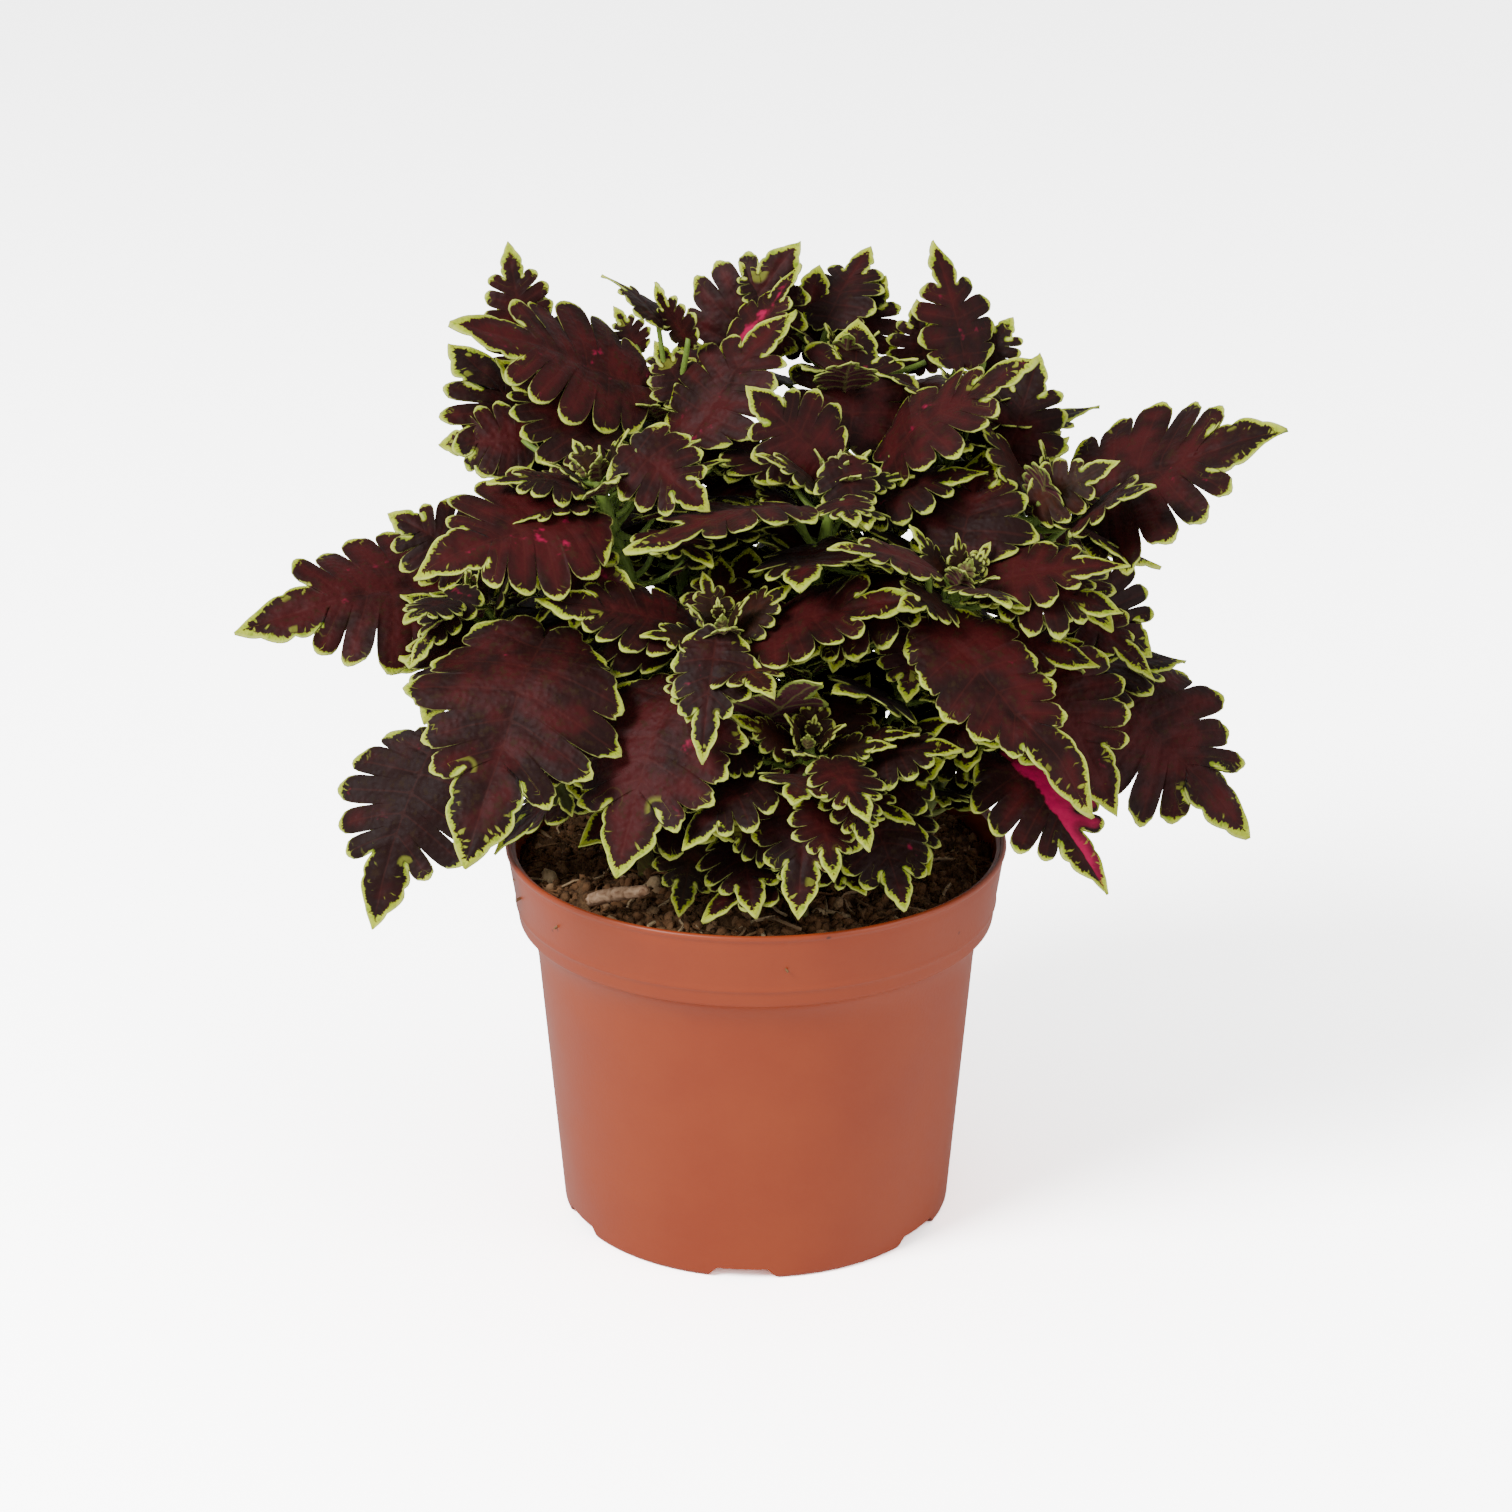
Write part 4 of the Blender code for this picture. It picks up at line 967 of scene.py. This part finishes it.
def add_picked_leaves(batch, letter, stem):
    """Leaves that each have their own place on the stem."""
    for order, row in enumerate(PICKED):
        if row[0] != letter:
            continue
        blade, pose = picked_blade(row)
        points, faces, values = fine_blade(blade, new_habit(300 + order, **row[-1]))
        batch.add(placed(pose, points), faces, 0, values)
        shares = np.linspace(0.15, 1.0, 60)
        joints = np.array([stem_point(stem, share) for share in shares])
        joint = joints[np.linalg.norm(joints - pose.shift + (0, 0, 3.0), axis=1).argmin()]
        middle = (joint + pose.shift) / 2 - np.array([0, 0, 1.0])
        collar = pose.shift + pose.turn[:, 1] * 1.5
        stalk, stalk_faces = stalk_tube(joint, middle, collar, THIN_STALK_RADIUS, pose.turn[:, 2])
        batch.add(stalk, outward(stalk, stalk_faces), 1)


def add_fill_leaves(batch, stem, rng, crowd):
    """Older leaves lower down the stem, where there is room for them between the others."""
    start = rng.uniform(0, pi)
    spots = [(share, start + i * pi / 2 + twin * pi, FILL_LENGTHS)
             for i, share in enumerate(FILL_SHARES) for twin in (0, 1)]
    spots += [(rng.uniform(0.4, 0.97), rng.uniform(0, 2 * pi), SMALL_FILL_LENGTHS)
              for i in range(SMALL_FILLS)]
    for share, facing, lengths in spots:
        for attempt in range(FILL_TRIES):
            shrink = 1 - 0.4 * attempt / FILL_TRIES
            heading = facing + rng.uniform(-0.8, 0.8)
            joint = stem_point(stem, share)
            out = np.array([cos(heading), sin(heading), 0.0])
            climb = rng.uniform(-0.75, 0.65)
            base = joint + out * rng.uniform(4, 14) + np.array([0, 0, rng.uniform(0, 8)])
            forward = out * cos(climb) + np.array([0, 0, sin(climb)])
            blade = Blade(rng.uniform(*lengths) * shrink, rng.uniform(0.9, 1.2), 24, 4)
            turn = leaf_turn(forward, rng.uniform(-0.35, 0.35))
            pose = Pose(1.0, turn, base)
            outline = placed(pose, cad_blade(blade))
            if outline[:, 2].min() < RIM_TOP + 1.0 and np.hypot(outline[:, 0], outline[:, 1]).max() > 50:
                continue
            if (outline.min(0) < PLANT_LOW).any() or (outline.max(0) > PLANT_HIGH).any():
                continue
            trial = tree_of(outline, blade_faces(blade))
            if crowd.meets(trial, outline):
                continue
            crowd.add(trial, outline)
            habit = new_habit(int(rng.integers(1e6)), tint=rng.uniform(0, 0.5))
            points, faces, values = fine_blade(blade, habit, FEW_COLUMNS, FEW_LOBE_STEPS, FEW_ROWS_END)
            batch.add(placed(pose, points), faces, 0, values)
            root = joint + out * 1.6
            middle = (root + base) / 2 + out * 1.0 - np.array([0, 0, 1.0])
            collar = base + forward * 1.5
            stalk, stalk_faces = stalk_tube(root, middle, collar, THIN_STALK_RADIUS, turn[:, 2])
            batch.add(stalk, outward(stalk, stalk_faces), 1)
            break


def make_stems():
    """The stems, and for each of them one piece with all its smaller leaves."""
    crowd = Crowd()
    for name in sorted(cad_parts):
        if name != "potting_mix":
            crowd.add(node_tree(name), node_corners(name))
    for row in PICKED:
        blade, pose = picked_blade(row)
        outline = placed(pose, cad_blade(blade))
        trial = tree_of(outline, blade_faces(blade))
        if crowd.meets(trial, outline):
            print("picked leaf meets another:", row[0], row[1])
        crowd.add(trial, outline)
    for order, letter in enumerate(STEM_LETTERS):
        stem = read_stem(letter)
        rng = np.random.default_rng(500 + order)
        shares = np.linspace(0, 1.03, 40)
        centres = [stem_point(stem, share) for share in shares]
        centres[0] = centres[0] - np.array([0, 0, 2.0])
        swell = 0.35 * np.exp(-((shares[:, None] - STEM_JOINTS) / 0.018) ** 2).sum(1)
        radii = STEM_ROOT_RADIUS + (STEM_TOP_RADIUS - STEM_ROOT_RADIUS) * shares + swell
        points, faces = tube(centres, radii * 0.9, 16, squareness=0.09)
        stalk = add_piece("stalk_" + letter, points, outward(points, faces), [STEM])
        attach(stalk, "root")
        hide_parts("stem_" + letter)
        batch = Batch(LEAF_KEYS)
        add_young_leaves(batch, stem, rng)
        add_picked_leaves(batch, letter, stem)
        add_fill_leaves(batch, stem, rng, crowd)
        shoot = batch.make("shoot_" + letter, [LEAF, STEM])
        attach(shoot, "root")


# ---- Pot ----

POT_SEGMENTS = 192
WALL = 1.3
NOTCH_COUNT = 6
NOTCH_FIRST_ANGLE = radians(-94.0)
NOTCH_TOP_WIDTH = 12.0
NOTCH_FOOT_WIDTH = 17.0
NOTCH_HEIGHT = 2.7
NOTCH_CORNER = 0.6
DRAIN_COUNT = 8
DRAIN_RADIUS = 3.5
DRAIN_SIDES = 24
DRAIN_INSET = 12.5      # from the foot ring's inside to the ring of drain holes
BAND_HEIGHT = 18.4
SHOULDER_HEIGHT = 13.0
FLOOR_LOW = 3.2
FLOOR_TOP = 4.6
LIP_BEAD = 0.75
SHARP_ANGLE = radians(38)


def pot_profile():
    """The pot's section, from the CAD pot's corners: rounded lip, band, shoulder, wall and foot."""
    corners = node_corners("pot")
    radius = np.hypot(corners[:, 0], corners[:, 1])
    height = corners[:, 2]
    top = height.max()

    def outer(z):
        close = abs(height - z) < 0.2
        return radius[close].max()

    levels = sorted({round(float(z), 1) for z in height})
    band_foot = min(levels, key=lambda z: abs(z - (top - BAND_HEIGHT)))
    shoulder_foot = band_foot - SHOULDER_HEIGHT
    rim = outer(top - 0.6)
    band_radius = outer(band_foot)
    foot_radius = radius[height < 0.05].max()
    foot_inner = radius[height < 0.05].min()
    wall_top = outer(min(levels, key=lambda z: abs(z - shoulder_foot)))
    under_band = band_radius - 0.75

    def shoulder(share, reach=under_band):
        return wall_top + (reach - wall_top) * (0.25 * share + 0.75 * share ** 3.2)

    wall_foot = foot_radius + 1.5
    profile = [(0, FLOOR_LOW), (foot_inner - 1, FLOOR_LOW), (foot_inner, FLOOR_LOW - 0.5),
               (foot_inner, 0.4), (foot_inner + 0.4, 0), (foot_radius, 0)]
    profile += [(foot_radius + 1.5 * sin(a), 1.5 * (1 - cos(a))) for a in np.radians((15, 30, 45, 60, 75))]
    steps = np.linspace(0, 1, 14)
    profile += [(wall_foot + (wall_top - wall_foot) * s, 1.5 + (shoulder_foot - 1.5) * s) for s in steps]
    rise = SHOULDER_HEIGHT - 0.6
    profile += [(shoulder(s), shoulder_foot + rise * s) for s in np.linspace(0.08, 1, 12)]
    profile += [(band_radius - 0.25, band_foot - 0.3), (band_radius - 0.02, band_foot - 0.2),
                (band_radius + 0.1, band_foot + 0.1)]
    draft = (rim - band_radius) / (top - band_foot)
    profile += [(band_radius + draft * s + extra, band_foot + s) for s, extra in (
        (0.6, 0.1), (2.4, 0.0), (3.3, 0.0), (3.6, 0.22), (4.0, 0.26), (4.5, 0.12), (5.4, 0.0),
        (10, 0.0), (14, 0.0), (15.6, -0.02), (16.4, -0.14), (16.7, -0.06))]
    profile += [(rim - LIP_BEAD + LIP_BEAD * cos(a) + 0.2, top - LIP_BEAD + LIP_BEAD * sin(a))
                for a in np.radians((-40, -10, 20, 50, 80, 100, 130, 160, 185))]
    profile += [(rim - 2.2, top - 1.2), (rim - 2.3, top - 2.4)]
    profile += [(band_radius + draft * s - WALL, band_foot + s) for s in (14, 8, 1)]
    profile += [(shoulder(s, band_radius - 0.35) - WALL, shoulder_foot + (rise + 0.2) * s)
                for s in np.linspace(1, 0, 9)]
    profile += [(wall_foot + (wall_top - wall_foot) * s - WALL, 1.5 + (shoulder_foot - 1.5) * s)
                for s in (0.75, 0.5, 0.25)]
    profile += [(foot_radius - 0.2, FLOOR_TOP + 1.2), (foot_radius - 1.4, FLOOR_TOP), (0, FLOOR_TOP)]
    return profile, foot_radius, foot_inner


def lathe_mesh(profile, segments):
    """A profile that starts and ends on the axis, turned round it."""
    shape = bmesh.new()
    angles = [2 * pi * i / segments for i in range(segments)]
    rows = [[shape.verts.new((r * cos(a), r * sin(a), z)) for a in angles] for r, z in profile[1:-1]]
    low = shape.verts.new((0, 0, profile[0][1]))
    high = shape.verts.new((0, 0, profile[-1][1]))
    for i in range(segments):
        j = (i + 1) % segments
        shape.faces.new((low, rows[0][j], rows[0][i]))
        shape.faces.new((high, rows[-1][i], rows[-1][j]))
        for a, b in zip(rows, rows[1:]):
            shape.faces.new((a[i], a[j], b[j], b[i]))
    return shape


def mesh_object(name, shape, used):
    """Make an object from a shape in millimetres."""
    bmesh.ops.recalc_face_normals(shape, faces=shape.faces)
    bmesh.ops.scale(shape, vec=(MM, MM, MM), verts=shape.verts)
    mesh = bpy.data.meshes.new(name)
    shape.to_mesh(mesh)
    shape.free()
    mesh.materials.append(used)
    made = bpy.data.objects.new(name, mesh)
    bpy.context.scene.collection.objects.link(made)
    return made


def applied(piece):
    """Replace a piece's mesh with what its modifiers make of it."""
    graph = bpy.context.evaluated_depsgraph_get()
    mesh = bpy.data.meshes.new_from_object(piece.evaluated_get(graph))
    piece.modifiers.clear()
    piece.data = mesh


def pot_cutter(foot_radius, foot_inner):
    """What is cut from the pot: six notches in the foot ring and nine drain holes."""
    shape = bmesh.new()
    # The cutter reaches 1 mm below the foot, where its sloping sides stand wider apart
    low = NOTCH_FOOT_WIDTH / 2 + 0.9
    high = NOTCH_TOP_WIDTH / 2
    for i in range(NOTCH_COUNT):
        turn = NOTCH_FIRST_ANGLE + i * 2 * pi / NOTCH_COUNT
        out = Vector((cos(turn), sin(turn), 0))
        side = Vector((-sin(turn), cos(turn), 0))
        corners = []
        for reach in (foot_inner - 2, foot_radius + 4):
            for half, z in ((-low, -1), (low, -1), (high + NOTCH_CORNER, NOTCH_HEIGHT - NOTCH_CORNER),
                            (high, NOTCH_HEIGHT), (-high, NOTCH_HEIGHT),
                            (-high - NOTCH_CORNER, NOTCH_HEIGHT - NOTCH_CORNER)):
                corners.append(shape.verts.new(out * reach + side * half + Vector((0, 0, z))))
        near, far = corners[:6], corners[6:]
        shape.faces.new(near)
        shape.faces.new(far)
        for k in range(6):
            n = (k + 1) % 6
            shape.faces.new((near[k], near[n], far[n], far[k]))
    centres = [(0.0, 0.0)]
    ring = foot_inner - DRAIN_INSET
    turns = [2 * pi * (i + 0.5) / DRAIN_COUNT for i in range(DRAIN_COUNT)]
    centres += [(ring * cos(turn), ring * sin(turn)) for turn in turns]
    angles = [2 * pi * k / DRAIN_SIDES for k in range(DRAIN_SIDES)]
    for x, y in centres:
        circle = [(x + DRAIN_RADIUS * cos(a), y + DRAIN_RADIUS * sin(a)) for a in angles]
        rings = [[shape.verts.new((*point, z)) for point in circle] for z in (2.0, 6.0)]
        shape.faces.new(rings[0])
        shape.faces.new(rings[1])
        for k in range(DRAIN_SIDES):
            n = (k + 1) % DRAIN_SIDES
            shape.faces.new((rings[0][k], rings[0][n], rings[1][n], rings[1][k]))
    return mesh_object("pot_cutter", shape, POT)


def make_pot():
    """The pot, turned from its profile and cut."""
    profile, foot_radius, foot_inner = pot_profile()
    pot = mesh_object("moulded_pot", lathe_mesh(profile, POT_SEGMENTS), POT)
    cutter = pot_cutter(foot_radius, foot_inner)
    modifier = pot.modifiers.new("cut", "BOOLEAN")
    modifier.operation = "DIFFERENCE"
    modifier.solver = "EXACT"
    modifier.object = cutter
    applied(pot)
    bpy.data.objects.remove(cutter)
    pot.data.shade_smooth()
    pot.data.set_sharp_from_angle(angle=SHARP_ANGLE)
    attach(pot, "root")
    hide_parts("pot")


# ---- Potting mix ----

MIX_RINGS = 46
MIX_SEGMENTS = 150
MIX_LUMPS = ((3.2, 22, 10), (3.0, 8, 4), (1.6, 3.6, 2.2))       # height, longest and shortest wave
BED_SHADE = 0.25
MIX_SLACK = 1.2         # the buried mix stays this far inside the CAD mix, off the moulded wall


def make_mix():
    """A rough bed of mix that keeps the CAD mix's shape below its surface."""
    tree = node_tree("potting_mix")
    corners = node_corners("potting_mix")
    radius = np.hypot(corners[:, 0], corners[:, 1])
    top = corners[radius > radius.max() - 0.05][:, 2].max()
    rng = np.random.default_rng(7)
    waves = [(height, smooth_waves(rng, 12, longest, shortest)) for height, longest, shortest in MIX_LUMPS]
    reach = radius[abs(corners[:, 2] - top) < 0.1].max()
    points = []
    for ring in range(MIX_RINGS + 1):
        r = reach * ring / MIX_RINGS
        for i in range(MIX_SEGMENTS if ring else 1):
            a = 2 * pi * (i + 0.5 * (ring % 2)) / MIX_SEGMENTS
            x, y = r * cos(a), r * sin(a)
            hit = tree.ray_cast(Vector((x * 0.999, y * 0.999, top + 20)), Vector((0, 0, -1)))[0]
            base = hit.z if hit else top
            lump = sum(height * relief(wave, np.array(x), np.array(y)) for height, wave in waves)
            sink = 1.0 - 2.0 * (ring / MIX_RINGS) ** 12
            points.append((x, y, base + lump - 0.3 + 0.6 * sink - 0.6))
    faces = [(0, 1 + i, 1 + (i + 1) % MIX_SEGMENTS) for i in range(MIX_SEGMENTS)]
    for ring in range(1, MIX_RINGS):
        low = 1 + (ring - 1) * MIX_SEGMENTS
        for i in range(MIX_SEGMENTS):
            j = (i + 1) % MIX_SEGMENTS
            faces.append((low + i, low + MIX_SEGMENTS + i, low + MIX_SEGMENTS + j, low + j))
    last = 1 + (MIX_RINGS - 1) * MIX_SEGMENTS
    levels = sorted({round(float(z), 1) for z in corners[radius > 30][:, 2] if z < top - 5}, reverse=True)
    for z in levels:
        wide = radius[abs(corners[:, 2] - z) < 0.1].max() - MIX_SLACK
        start = len(points)
        for i in range(MIX_SEGMENTS):
            a = 2 * pi * (i + 0.5 * (MIX_RINGS % 2)) / MIX_SEGMENTS
            points.append((wide * cos(a), wide * sin(a), z))
        for i in range(MIX_SEGMENTS):
            j = (i + 1) % MIX_SEGMENTS
            faces.append((last + i, start + i, start + j, last + j))
        last = start
    faces.append(tuple(range(last + MIX_SEGMENTS - 1, last - 1, -1)))
    shade = np.full(len(points), BED_SHADE)
    bed = add_piece("mix_bed", points, outward(points, faces), [PEAT], values={"shade": shade})
    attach(bed, "root")
    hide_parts("potting_mix")
    return bed


def bits_tree(name, fibre):
    """Crumbs or fibres strewn over a surface."""
    tree = bpy.data.node_groups.new(name, "GeometryNodeTree")
    face = tree.interface
    face.new_socket("Geometry", in_out="OUTPUT", socket_type="NodeSocketGeometry")
    face.new_socket("Geometry", in_out="INPUT", socket_type="NodeSocketGeometry")
    inputs = {}
    for label, kind in (("Density", "Float"), ("Smallest", "Float"), ("Largest", "Float"),
                        ("Palest", "Float"), ("Seed", "Int"), ("Finish", "Material")):
        inputs[label] = face.new_socket(label, in_out="INPUT", socket_type="NodeSocket" + kind).identifier
    start = add(tree, "NodeGroupInput").outputs
    seed = start["Seed"]
    strewn = add(tree, "GeometryNodeDistributePointsOnFaces", {
        "Mesh": start["Geometry"], "Density": start["Density"], "Seed": seed})
    if fibre:
        line = add(tree, "GeometryNodeCurvePrimitiveBezierSegment", {
            "Start": (-0.5, 0, 0), "Start Handle": (-0.2, 0.2, 0.1), "End Handle": (0.1, -0.3, 0.12),
            "End": (0.5, 0.05, -0.06), "Resolution": 5})
        section = add(tree, "GeometryNodeCurvePrimitiveCircle", {"Resolution": 3, "Radius": 0.035})
        shape = add(tree, "GeometryNodeCurveToMesh", {
            "Curve": line.outputs[0], "Profile Curve": section.outputs[0], "Fill Caps": True}).outputs[0]
    else:
        ball = add(tree, "GeometryNodeMeshIcoSphere", {"Radius": 0.5, "Subdivisions": 1})
        noise = add(tree, "ShaderNodeTexNoise", {"Scale": 2.6, "Detail": 2.0})
        push = add(tree, "ShaderNodeVectorMath", {0: noise.outputs["Color"], 1: (-0.5, -0.5, -0.5)})
        push = add(tree, "ShaderNodeVectorMath", {0: push.outputs[0], "Scale": 0.95}, operation="SCALE")
        shape = add(tree, "GeometryNodeSetPosition", {
            "Geometry": ball.outputs["Mesh"], "Offset": push.outputs[0]}).outputs[0]
    spin = add(tree, "FunctionNodeRandomValue", {
        0: (-0.35, -0.35, 0.0) if fibre else (0.0, 0.0, 0.0),
        1: (0.35, 0.35, 6.283) if fibre else (6.3, 6.3, 6.3),
        "Seed": seed}, data_type="FLOAT_VECTOR")
    size = add(tree, "FunctionNodeRandomValue", {
        2: start["Smallest"], 3: start["Largest"], "Seed": seed}, data_type="FLOAT")
    stretch = add(tree, "FunctionNodeRandomValue", {
        0: (1.0, 0.7, 0.7) if fibre else (0.7, 0.55, 0.4), 1: (1.0, 1.3, 1.3) if fibre else (1.4, 1.0, 0.9),
        "Seed": seed}, data_type="FLOAT_VECTOR")
    scale = add(tree, "ShaderNodeVectorMath", {0: stretch.outputs[0], "Scale": size.outputs[1]},
                operation="SCALE")
    placed_bits = add(tree, "GeometryNodeInstanceOnPoints", {
        "Points": strewn.outputs["Points"], "Instance": shape, "Rotation": spin.outputs[0],
        "Scale": scale.outputs[0]})
    shade = add(tree, "FunctionNodeRandomValue", {
        2: 0.0, 3: start["Palest"], "Seed": seed}, data_type="FLOAT")
    stored = add(tree, "GeometryNodeStoreNamedAttribute", {
        "Geometry": placed_bits.outputs[0], "Name": "shade", "Value": shade.outputs[1]},
        domain="INSTANCE", data_type="FLOAT")
    real = add(tree, "GeometryNodeRealizeInstances", {"Geometry": stored.outputs[0]})
    smooth = add(tree, "GeometryNodeSetShadeSmooth", {"Geometry": real.outputs[0]})
    coated = add(tree, "GeometryNodeSetMaterial", {
        "Geometry": smooth.outputs[0], "Material": start["Finish"]})
    add(tree, "NodeGroupOutput", {"Geometry": coated.outputs[0]})
    return tree, inputs


def strew(name, tree_inputs, density, smallest, largest, palest, seed, used, bed):
    """Strew bits over the top of the bed and keep them as one plain mesh."""
    tree, inputs = tree_inputs
    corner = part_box("potting_mix")[1]
    surface = bmesh.new()
    surface.from_mesh(bed.data)
    middles = {f: f.calc_center_median() for f in surface.faces}
    gone = [f for f, middle in middles.items()
            if middle.z < corner.z - 0.012 or middle.xy.length > corner.x - 0.0022]
    bmesh.ops.delete(surface, geom=gone, context="FACES")
    mesh = bpy.data.meshes.new(name)
    surface.to_mesh(mesh)
    surface.free()
    piece = bpy.data.objects.new(name, mesh)
    bpy.context.scene.collection.objects.link(piece)
    modifier = piece.modifiers.new(name, "NODES")
    modifier.node_group = tree
    for label, value in (("Density", density), ("Smallest", smallest), ("Largest", largest),
                         ("Palest", palest), ("Seed", seed), ("Finish", used)):
        modifier[inputs[label]] = value
    applied(piece)
    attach(piece, "root")


STUB_RAISE = 3.2        # how far the right end stands out of the mix


def make_stub():
    """A short cut stump: rings that wander, with a rough, splintered end."""
    corners = node_corners("old_stem_stub")
    middle = corners.mean(0)
    axis = np.linalg.svd(corners - middle)[2][0]
    reach = (corners - middle) @ axis
    ends = middle + axis * reach.min(), middle + axis * reach.max()
    rng = np.random.default_rng(3)
    shares = np.linspace(0, 1, 22)
    ends = sorted(ends, key=lambda end: end[0])
    rises = [0.3 * sin(5 * s) + STUB_RAISE * s for s in shares]
    centres = [ends[0] * (1 - s) + ends[1] * s + np.array([0, 0, rise]) for s, rise in zip(shares, rises)]
    radii = np.interp(shares, (0, 0.06, 0.4, 0.7, 0.94, 1), (1.1, 1.7, 1.6, 1.5, 1.3, 0.8))
    points, faces = tube(centres, radii, 22)
    points[:-2] += rng.normal(0, 0.09, (len(points) - 2, 3))
    stub = add_piece("cut_stub", points, outward(points, faces), [WOOD])
    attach(stub, "root")
    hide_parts("old_stem_stub")


# ---- Floor and light ----

FLOOR_GAIN = 6.0
FLOOR_REACH = 40000
WORLD_STRENGTH = 0.64
# name, place in metres, width, watts
LIGHTS = (("key", (-0.95, -0.75, 1.15), 0.7, 28.0), ("fill", (1.25, -0.7, 0.6), 1.4, 9.0))


def make_stage():
    """A wide pale floor under a soft light from the front left and a weak one from the right."""
    made, tree, shader = start_material("painted_floor", Roughness=0.9)
    # The floor is lit brighter than the plant, as a studio's white sweep is
    seen = add(tree, "ShaderNodeLightPath").outputs["Is Camera Ray"]
    plain = add(tree, "ShaderNodeBsdfDiffuse", {"Color": (0.8, 0.8, 0.8, 1.0)})
    bright = add(tree, "ShaderNodeBsdfDiffuse", {"Color": (FLOOR_GAIN, FLOOR_GAIN, FLOOR_GAIN, 1.0)})
    both = add(tree, "ShaderNodeMixShader", {0: seen, 1: plain.outputs[0], 2: bright.outputs[0]})
    tree.links.new(both.outputs[0], tree.nodes["Material Output"].inputs["Surface"])
    shape = bmesh.new()
    bmesh.ops.create_grid(shape, x_segments=1, y_segments=1, size=FLOOR_REACH)
    floor = mesh_object("floor", shape, made)
    world = bpy.data.worlds.new("studio")
    world.use_nodes = True
    sky = world.node_tree.nodes["Background"]
    sky.inputs["Color"].default_value = (1.0, 1.0, 1.0, 1.0)
    sky.inputs["Strength"].default_value = WORLD_STRENGTH
    bpy.context.scene.world = world
    for name, place, size, power in LIGHTS:
        data = bpy.data.lights.new(name, "AREA")
        data.shape = "DISK"
        data.size = size
        data.energy = power
        light = bpy.data.objects.new(name, data)
        light.location = place
        light.rotation_euler = (Vector((0, 0, 0.1)) - Vector(place)).to_track_quat("-Z", "Y").to_euler()
        bpy.context.scene.collection.objects.link(light)


make_stage()
make_pot()
mix_bed = make_mix()
crumbs = bits_tree("crumbs", False)
fibres = bits_tree("fibres", True)
strew("mix_crumbs", crumbs, 260000.0, 0.0009, 0.0036, 0.78, 11, PEAT, mix_bed)
strew("mix_chips", crumbs, 9000.0, 0.002, 0.0052, 1.0, 12, PEAT, mix_bed)
strew("mix_fibres", fibres, 42000.0, 0.005, 0.014, 1.0, 13, PEAT, mix_bed)
make_stub()
make_stems()
make_leaves()
